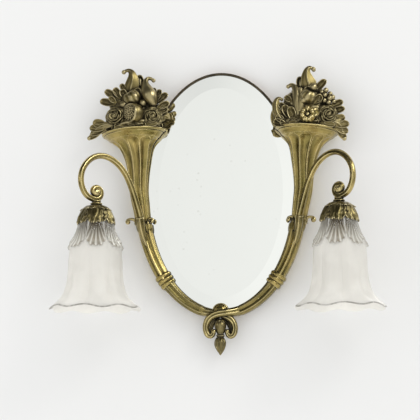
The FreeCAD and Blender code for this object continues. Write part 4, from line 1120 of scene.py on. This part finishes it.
# %% Lower stems and their straps
def strap_section(across, along):
    """A strap with a doubled ridge down its front, slimmer towards its curl."""
    turn = across * math.tau
    wide = 7.6 - 1.4 * step(0.0, 0.30, along) - 1.2 * step(0.32, 0.78, along) - 0.8 * step(0.78, 1.0, along)
    deep = 4.6 - 0.9 * step(0.0, 0.35, along) - 0.3 * step(0.35, 1.0, along)
    ridge = ridges(math.degrees(turn), (66, 15, 0.75), (114, 15, 0.75), (90, 10, -1.2))
    return wide * math.cos(turn), deep * math.sin(turn) + ridge


def lower_stem(side_name, body, route):
    """The slim stem, and the strap that carries it on through the knot to its ball."""
    x, y, z = route[-1]
    strap = cap_ends(swept(route, 32, 150, strap_section))
    piece = joined(body, strap, ball(4.3, (x, y - 1.0, z + 0.4), 18))
    fit(piece, side_name + "strap_stem", strap_brass, [side_name + "lower_stem"])


right_route = [(48, -17.0, -196.5), (33, -21.5, -202.5), (19, -28.5, -206.2), (7, -34.0, -207.4), (-6, -35.0, -209.2),
               (-17, -33.4, -214.5), (-23.6, -31.6, -224), (-24.8, -30.5, -236), (-20.5, -30.5, -246.0),
               (-12.6, -30.5, -246.2), (-11.0, -30.5, -239.5)]
left_route = [(-48, -17.0, -196.5), (-33, -21.5, -202.8), (-19, -25.4, -206.8), (-7, -26.6, -208.6),
              (6, -26.6, -211.8), (15.5, -26.6, -216.0), (22.6, -26.6, -224), (25.2, -26.6, -236),
              (21.0, -26.6, -246.2),
              (13.0, -26.6, -246.4), (11.2, -26.6, -239.5)]
slim_stem = stem(46.5, 84.5, lower_lines)
left_stem = twin(slim_stem)
lower_stem("right_", slim_stem, right_route)
lower_stem("left_", left_stem, left_route)



# %% Boss
def knot_boss():
    """A domed boss with a raised line near its edge; the crossing hides its lower half."""
    outline = [(0.3, 0.0), (13.2, 0.0), (13.9, 0.8), (13.9, 3.6), (13.2, 4.8), (12.3, 4.8), (11.7, 3.7), (11.3, 4.2),
               (10.8, 6.6), (8.2, 9.2), (5.0, 10.8), (2.4, 11.5), (0.3, 11.7)]
    piece = spun([outline[0]] + rounded(outline[1:], 4), 0, 0, 72)
    piece.data.transform(Matrix.Translation((0, 0, -middle_height)))
    piece.data.transform(Matrix.Rotation(math.radians(90), 4, "X"))
    piece.data.transform(Matrix.Translation(spot(0, -22.6, -205)))
    edit_all(piece)
    bpy.ops.mesh.bisect(plane_co=spot(0, 0, -211), plane_no=(0, 0, 1), clear_inner=True, use_fill=True)
    bpy.ops.object.mode_set(mode="OBJECT")
    return piece


fit(knot_boss(), "boss", bracket_brass, ["knot_dome"])

# %% [markdown]
# ### Berry, collar and bud
#
# Under the knot hang a smooth berry with a small leaf cap, a narrow beaded collar and a closed bud
# whose petals overlap down to one point.

# %% Pendant
hang = (0.0, -26.5)


def profile(*stations):
    """A turned outline as a function of the share of the way down."""
    return lambda along: smooth_value(stations, along)


berry_profile = profile((0.0, 3.4, -217.6), (0.16, 7.4, -221.4), (0.45, 9.6, -228.6), (0.76, 8.2, -237.0),
                        (1.0, 5.2, -243.5))
bud_profile = profile((0.0, 5.2, -248.3), (0.20, 7.6, -253.5), (0.38, 8.2, -259.2), (0.62, 6.4, -267.0),
                      (0.84, 3.2, -274.2), (1.0, 0.7, -278.4))


def core(shape, top, bottom, steps):
    """The turned body under the leaves, closed by a point above and one below."""
    return spun([top] + [shape(index / 30) for index in range(31)] + [bottom], *hang, steps)


berry_leaves = [wrapped_leaf(hang, lambda along: berry_profile(0.02 + 0.24 * along), 72 * index + 36,
                             lambda along: 34 * math.sin(math.pi * min(0.22 + 0.78 * along, 0.995)) ** 0.8 + 1.0,
                             lambda side, along: 0.5 + 0.4 * (1 - side * side) + 0.7 * step(0.8, 1.0, along),
                             10, 14, 0.8) for index in range(5)]
husks = [acanthus([(side * 1.5, -22.5, -214), (side * 9, -22.0, -217), (side * 17.0, -22.0, -225),
                   (side * 19.5, -22.0, -236), (side * 10.5, -22.5, -246)], 7.0, 2, 0.15, 0.3, 1.6)
         for side in (1, -1)]
berry = joined(core(berry_profile, (0.3, -218.6), (0.3, -243.5), 64), *berry_leaves, *husks)
fit(berry, "drop_berry", cap_brass, ["centre_berry"])

beads = spun([(2.0, -243.7)] + rounded(
    [(5.6, -243.7), (6.6, -244.3), (6.0, -244.9), (7.5, -245.6), (7.6, -246.4), (6.2, -247.0), (6.7, -247.6),
     (5.8, -248.1)]) + [(2.0, -248.1)], *hang)
fit(beads, "beaded_collar", cap_brass, ["pendant_collar"])


def bud_petal(index, stand, reach):
    def lift(side, along):
        swell = (1 - side * side) * math.sin(math.pi * (0.15 + 0.75 * along))
        return stand - 0.9 + 2.4 * swell * (1 - 0.5 * step(0.7, 1.0, along))
    return wrapped_leaf(hang, lambda along: bud_profile(along * reach), 60 * index + 12,
                        lambda along: 29 * math.sin(math.pi * min(0.20 + 0.79 * along, 0.99)) ** 0.75 + 0.6,
                        lift, 16, 26, 0.7)


bud_petals = [bud_petal(index, *((0.0, 0.97) if index % 2 else (0.9, 0.82))) for index in range(6)]
bud = joined(core(bud_profile, (0.3, -248.3), (0.2, -278.5), 48), *bud_petals)
fit(bud, "petalled_bud", cap_brass, ["finial_bud"])

# %% [markdown]
# ## Fruit and flowers
#
# No two of the cast fruits are alike, and the two heaps differ. They share a few makers: a spoon
# petal, a rose, an open pomegranate, a ribbed gourd, a bunch of grapes and the leaves from above.
# Every place is in millimetres from the middle of the glass.

# %% Makers for the heaps
def petal(base, tip, half_width, hollow=0.85, bend=3.0):
    """A spoon-shaped petal with a round tip: its rim stands forward of its hollow middle."""
    base, tip = Vector(base), Vector(tip)
    points = [base, (base + tip) / 2 - Vector((0, bend, 0)), tip]

    def section(across, along):
        sideways = 2 * across - 1
        width = half_width * (0.42 + 0.58 * step(0.0, 0.55, along))
        width *= max(1 - max((along - 0.55) / 0.451, 0) ** 2.6, 0.0) ** 0.5
        open_here = step(0.1, 0.45, along) * (1 - step(0.84, 1.0, along))
        rim = hollow * half_width * ((abs(sideways) ** 2.5 - 0.55) * open_here + 0.1)
        vein = 0.16 * half_width * math.exp(-(sideways / 0.18) ** 2) * open_here
        return sideways * width, rim + vein + hollow * half_width * 0.35 * step(0.78, 0.95, along)
    return thicken(swept(points, 14, 20, section), 1.5)


def seated(piece, centre, towards):
    """Turns a piece that looks along +Z to look another way, and puts it in its place."""
    turned = Vector(towards).normalized().to_track_quat("Z", "Y").to_matrix().to_4x4()
    piece.data.transform(Matrix.Translation(spot(*centre)) @ turned)
    return piece


def raised_ball(radius, height):
    """A ball on the axis of a piece that still looks along +Z."""
    piece = ball(radius, None, 10)
    piece.data.transform(Matrix.Translation((0, 0, height * mm)))
    return piece


def polar(turn, out, up):
    """A place on a piece that still looks along +Z."""
    return Vector((out * math.cos(math.radians(turn)), out * math.sin(math.radians(turn)), up)) * mm


def rose(centre, radius, towards, turned=0.0):
    """A rose: rings of thick petals round a tight heart, each petal's edge rolled outwards."""
    rings = [(0.28, 0.74, 2, 190), (0.48, 0.62, 3, 140), (0.68, 0.42, 4, 112), (0.86, 0.20, 5, 88),
             (1.0, -0.06, 6, 78)]
    made = [raised_ball(radius * 0.30, radius * 0.42)]
    for ring, (reach, height, count, spread) in enumerate(rings):
        for index in range(count):
            start = 360.0 * index / count + ring * 47 + turned + random.uniform(-9, 9)
            tall = height + random.uniform(-0.07, 0.07)

            def place(across, along):
                sideways = 2 * across - 1
                roll = step(0.68, 1.0, along)
                out = 0.12 + (reach - 0.12) * math.sin(min(along / 0.78, 1.0) * math.pi / 2)
                out = radius * (out + 0.12 * roll - 0.09 * sideways ** 2 + 0.07 * sideways)
                up = radius * (-0.30 + (tall + 0.30) * min(along / 0.84, 1.0) ** 1.4 - 0.16 * roll ** 2
                               - 0.22 * sideways ** 4 + 0.06 * math.cos(sideways * 5 + start))
                return polar(start + sideways * spread / 2, out, up)
            made.append(thicken(bent_grid(12, 10, place), 2.0))
    return seated(joined(*made), centre, towards)


def pomegranate(centre, radius, towards, opening=0.98, seed_count=52, golden_turn=2.399963):
    """A split pomegranate: a thick rolled rim round a hollow full of seeds."""
    def grow(way):
        off = math.acos(max(min(way.z, 1.0), -1.0))
        wobble = noise.noise(way * 2.3) * 0.05
        rim = math.exp(-((off - opening) / 0.10) ** 2) * 0.10
        hollow = 0.24 * (1 - step(opening - 0.16, opening - 0.02, off))
        return 1 + wobble * 0.5 + rim - hollow

    parts = [lump((radius, radius, radius), 30, grow)]
    for index in range(seed_count):
        tilt = (opening - 0.10) * math.sqrt((index + 0.5) / seed_count)
        seed = ball(random.uniform(1.7, 2.25), None, 6)
        place = polar(math.degrees(index * golden_turn), math.sin(tilt), math.cos(tilt)) * radius * 0.85
        seed.data.transform(Matrix.Translation(place))
        parts.append(seed)
    return seated(joined(*parts), centre, towards)


def gourd(centre, size, ribs, depth, towards):
    """A ribbed fruit with a dimple at its stalk."""
    def grow(way):
        turn = math.atan2(way.y, way.x)
        rib = depth * (abs(math.cos(turn * ribs / 2)) ** 0.6 - 0.6) * (1 - abs(way.z) ** 3)
        return 1 + rib - 0.22 * math.exp(-((way.z - 1) / 0.12) ** 2)
    return seated(lump(size, 26, grow), centre, towards)


def grapes(places, radius):
    """A bunch of round grapes, each a little different."""
    return joined(*[ball(radius * random.uniform(0.9, 1.08), place, 12) for place in places])


def blossom(centre, radius, towards, count, turned):
    """An open blossom: broad wavy petals round a knot of stamens."""
    made = []
    for ring, (reach, lift) in enumerate(((1.0, 0.10), (0.62, 0.42))):
        for index in range(count):
            start = 360.0 * (index + 0.5 * ring) / count + turned + random.uniform(-10, 10)
            reach *= random.uniform(0.86, 1.14)
            lift += random.uniform(-0.08, 0.14)

            def place(across, along):
                sideways = 2 * across - 1
                spread = 45 * math.sin(math.pi * (0.12 + 0.70 * along)) ** 0.6
                out = radius * (0.10 + 0.90 * reach * along * (1 - 0.16 * sideways ** 2))
                up = radius * (0.15 + lift * math.sin(along * 2.6) + 0.10 * sideways ** 2 * along
                               + 0.11 * math.cos(sideways * 6 + start) * along - 0.22 * step(0.7, 1.0, along))
                return polar(start + sideways * spread, out, up)
            made.append(thicken(bent_grid(14, 12, place), 1.2))
    return seated(joined(*made, raised_ball(radius * 0.2, radius * 0.35)), centre, towards)


def horn_fruit(points, stations, end_ball):
    """A pear or a stalk: a round body along a path, its size given by (share, radius)."""
    bar = curl_bar(points, lambda along: smooth_value(stations, along)[0], 20)
    return joined(bar, ball(end_ball, points[-1], 14))


def pod(base, tip, half_width):
    """A bud with its husk open in front."""
    length = Vector(tip) - Vector(base)
    middle = (Vector(base) + Vector(tip)) / 2
    grain = lump((half_width * 0.42, half_width * 0.4, length.length * 0.30), 10)
    return joined(petal(base, tip, half_width, 0.9, 1.0), seated(grain, middle - Vector((0, 2, 0)), length))


def heap_core(side):
    """The rough body of the casting that fills the mouth behind the fruit."""
    lumps = []
    for place, size in (((149.5, -40, 112), (45, 25, 17)), ((149, -38, 134), (40, 18, 24)),
                        ((150, -37, 160), (27, 13, 22)), ((172, -38, 150), (17, 11, 17)),
                        ((126, -38, 146), (17, 12, 19))):
        rough = lump(size, 36, lambda way: 1 + 0.16 * noise.noise(way * 4.1 + Vector(place) * 0.1)
                     + 0.07 * noise.noise(way * 11.0))
        rough.data.transform(Matrix.Translation(spot(side * place[0], place[1], place[2])))
        lumps.append(rough)
    return lumps


def lip_leaves(side, count=11):
    """Small leaves that lie round the lip and close the gaps between fruit and horn."""
    leaves = []
    for index in range(count):
        share = 2 * index / (count - 1) - 1
        out = side * 149.5 + share * 38
        front = -36 - 27 * math.sqrt(max(1 - share * share, 0.0))
        rise = random.uniform(5, 11)
        low = 104.5 - 3.0 * side * share
        tip = (out + share * 15 + random.uniform(-7, 7), front - 1.5, low + rise)
        leaves.append(petal((out, front + 7, low), tip, random.uniform(5.5, 7.5), 0.35, 2.0))
    return leaves


def sickle(points, stations, end_ball=3.4):
    """A tall leaf that narrows to a curled tip; stations give (share of the way, half width)."""
    def section(across, along):
        sideways = 2 * across - 1
        width = smooth_value(stations, along)[0]
        vein = 1.5 * math.exp(-(sideways / 0.13) ** 2) * (1 - 0.6 * along)
        ribs = 0.5 * math.cos(sideways * 9 - along * 9 * abs(sideways)) * (1 - along)
        rim = 0.9 * step(0.78, 1.0, abs(sideways)) * (1 - 0.5 * along)
        return sideways * width, vein + ribs + rim + width * 0.42 * (1 - sideways ** 2)
    return joined(thicken(swept(points, 26, 60, section), 2.4), ball(end_ball, points[-1], 14))


def heap(side_name, leaves, flowers, fruit):
    """The three pieces of one casting: its fruit, its leaves and its flowers."""
    fit(joined(*fruit), side_name + "heap_fruit", fruit_brass, [side_name + "fruit_cluster"])
    fit(joined(*leaves), side_name + "heap_leaves", fruit_brass)
    fit(joined(*flowers), side_name + "heap_flowers", rose_brass)


# %% [markdown]
# ### The left heap
#
# A tall curled leaf stands over a bud and a pear with a curled stalk. In front lie a split
# pomegranate and two roses; spoon petals fan out to the left, and a lobed leaf hangs over the lip.

# %% Left heap
left_leaves = lip_leaves(-1) + [
    sickle([(-153, -43, 160), (-152, -46, 172), (-147.5, -48, 189), (-149, -49, 203.5), (-157, -47, 209.6),
            (-163.5, -46, 206)],
           [(0, 8), (0.22, 12.4), (0.40, 10.6), (0.60, 6.0), (0.80, 3.3), (1, 2.4)]),
    acanthus([(-176, -56, 108), (-190, -60, 112), (-203, -57, 109), (-214, -52, 101), (-222, -47, 92)], 8.0,
             cup=0.3, thickness=2.2, widest=0.5),
    petal((-188, -57, 108), (-215, -54, 117), 7.6, 0.45), petal((-192, -56, 105), (-221, -52, 107), 6.6, 0.45),
    petal((-192, -55, 104), (-219, -49, 98), 6.8, 0.45), petal((-200, -53, 100), (-223, -47, 90), 5.4, 0.45),
    ball(3.8, (-222.5, -47.5, 90.5), 12), ball(3.9, (-164.2, -46.5, 205.4), 14),
    acanthus([(-110, -46, 116), (-99, -46, 126), (-90, -43, 130), (-85, -40, 124)], 8.0, lobes=2),
    acanthus([(-116, -50, 134), (-104, -48, 142), (-95, -44, 142), (-89, -41, 134)], 7.5, lobes=2),
    petal((-172, -47, 158), (-196, -46, 173), 6.4), petal((-168, -48, 158), (-180, -47, 177), 6.0),
    petal((-176, -48, 148), (-204, -46, 155), 6.6), petal((-176, -50, 150), (-188, -50, 161), 4.6),
    petal((-158, -46, 168), (-169, -46, 184), 5.0), petal((-110, -47, 148), (-89, -45, 166), 6.2),
    petal((-110, -48, 150), (-101, -46, 173), 5.2), petal((-114, -48, 152), (-111, -46, 176), 4.8),
    petal((-108, -49, 138), (-86, -46, 150), 6.0), petal((-106, -50, 130), (-88, -47, 140), 5.0),
    petal((-150, -58, 106), (-178, -62, 104), 4.5, 0.3), petal((-128, -60, 108), (-104, -58, 112), 4.5, 0.3),
    petal((-160, -52, 158), (-166, -54, 172), 6.0), petal((-134, -52, 160), (-141, -54, 174), 5.5),
    pod((-133, -44, 174), (-138, -44, 200), 6.6),
]
left_flowers = [
    rose((-176.5, -57, 125), 17.0, (-0.25, -1, 0.05), 20),
    rose((-113, -56, 124), 16.0, (0.2, -1, -0.05), 80),
]
left_fruit = heap_core(-1) + [
    pomegranate((-145.0, -58, 129), 18.4, (-0.62, -0.78, -0.02)),
    gourd((-150, -50, 158), (18, 15, 15), 9, 0.13, (-0.5, -0.35, 0.9)),
    horn_fruit([(-111, -52, 144), (-115, -54, 156), (-124, -51, 172), (-127.5, -48, 188), (-120, -46, 196),
                (-113, -45, 190)], [(0, 5), (0.16, 12.0), (0.34, 11.4), (0.56, 6.2), (0.8, 3.4), (1, 2.6)], 3.6),
    ball(7.0, (-163, -54, 146), 14), ball(6.0, (-130, -56, 148), 14),
]
heap("left_", left_leaves, left_flowers, left_fruit)

# %% [markdown]
# ### The right heap
#
# Here the tall leaf curls the other way. A bud, a trumpet-shaped stalk and a slanted petal stand
# round it; below are grapes, an open blossom and a rose.

# %% Right heap
right_leaves = lip_leaves(1) + [
    sickle([(154, -43, 158), (155, -46, 171), (149, -48, 186), (149, -49, 201), (156, -47, 207.5), (161, -46, 202)],
           [(0, 9), (0.22, 12.8), (0.40, 10.4), (0.60, 5.8), (0.80, 3.3), (1, 2.4)]),
    acanthus([(178, -56, 104), (192, -60, 110), (203, -57, 106), (209, -52, 96), (208, -47, 84)], 8.0,
             cup=0.3, thickness=2.2, widest=0.5),
    petal((186, -57, 108), (212, -54, 118), 7.4, 0.45), petal((192, -56, 104), (219, -52, 106), 6.8, 0.45),
    petal((194, -55, 100), (217, -49, 93), 6.6, 0.45), petal((198, -53, 96), (213, -47, 82), 5.6, 0.45),
    ball(3.8, (211, -47.5, 82), 12), ball(3.9, (160.4, -46.5, 203.4), 14),
    sickle([(112, -48, 110), (102, -49, 120), (96, -48, 135), (97, -46, 149), (102, -45, 155.5), (106, -45, 152)],
           [(0, 5), (0.25, 7.0), (0.5, 6.0), (0.75, 3.6), (1, 2.2)], 2.9),
    petal((160, -46, 162), (181, -46, 184), 6.2), petal((186, -48, 136), (209, -47, 146), 6.0),
    petal((184, -48, 126), (212, -47, 134), 6.0),
    petal((116, -50, 118), (95, -47, 132), 6.4), petal((116, -54, 106), (92, -49, 112), 7.0),
    petal((120, -52, 116), (110, -51, 140), 6.6), petal((128, -56, 108), (120, -56, 136), 6.8),
    petal((112, -52, 110), (97, -50, 122), 6.0), petal((168, -60, 106), (196, -60, 103), 4.5, 0.3),
    petal((140, -62, 106), (118, -60, 108), 4.5, 0.3), petal((160, -54, 142), (174, -57, 154), 6.4),
    petal((146, -54, 146), (136, -56, 158), 6.0), petal((124, -50, 146), (112, -48, 156), 5.0),
    petal((156, -52, 158), (148, -54, 170), 5.6), petal((118, -50, 128), (102, -48, 144), 5.4),
    pod((138, -44, 166), (138, -44, 191), 7.0),
]
right_flowers = [
    rose((183.5, -57, 120), 17.0, (0.25, -1, 0.05), 110),
]
right_fruit = heap_core(1) + [
    grapes([(174, -50, 162), (181, -51, 165), (188, -49, 159), (171, -53, 154), (179, -54, 156), (187, -52, 151),
            (178, -53, 147), (170, -53, 146), (192, -50, 153), (185, -50, 144), (194, -48, 146)], 4.6),
    gourd((152, -51, 154), (17, 14, 14), 8, 0.12, (0.4, -0.4, 0.9)),
    ball(6.5, (160, -54, 170), 14), ball(6.5, (143, -58, 147), 14),
    horn_fruit([(134, -52, 118), (133, -53, 140), (132, -52, 156), (130, -49, 170), (123, -47, 178),
                (117.5, -46, 174)],
               [(0, 7), (0.3, 7.4), (0.55, 6.2), (0.8, 4.2), (1, 2.9)], 3.6),
    horn_fruit([(138, -54, 128), (139, -56, 146), (138, -53, 166)], [(0, 6.5), (0.5, 6.8), (1, 4.5)], 4.4),
]
heap("right_", right_leaves, right_flowers, right_fruit)
fit(blossom((151, -65, 119), 19.5, (-0.12, -1, 0.12), 5, 15), "right_heap_blossom", bracket_brass)

# %% [markdown]
# ## Pieces that keep the construction model's shape
#
# The tray, the back, the fastenings and the lampholders are plain made things whose modelled shape
# is already right, so they only need a finish. Each takes it from its slot in the record.

# %% Finishes for the carried-over pieces
finishes = {
    "bracket_brass": bracket_brass, "fruit_brass": fruit_brass, "knot_brass": bracket_brass,
    "lamp_brass": lamp_brass, "mirror": mirror_silver, "shade_glass": shade_glass, "tray_brass": tray_brass,
    "packing_felt": felt, "board_wood": old_pine, "porcelain": porcelain, "wire_cover": cotton_braid,
    "bumper_rubber": rubber, "hardware_brass": sheet_brass, "screw_steel": screw_steel,
}
slots = {part["node"]: part["material_slot"] for part in frame["record"]["subparts"]}
for node_name, piece in frame["nodes"].items():
    if hasattr(piece, "data") and piece.data is not None:
        piece.data.materials.clear()
        piece.data.materials.append(finishes[slots[node_name]])
print(len(slots), "pieces of the construction model have their finish")
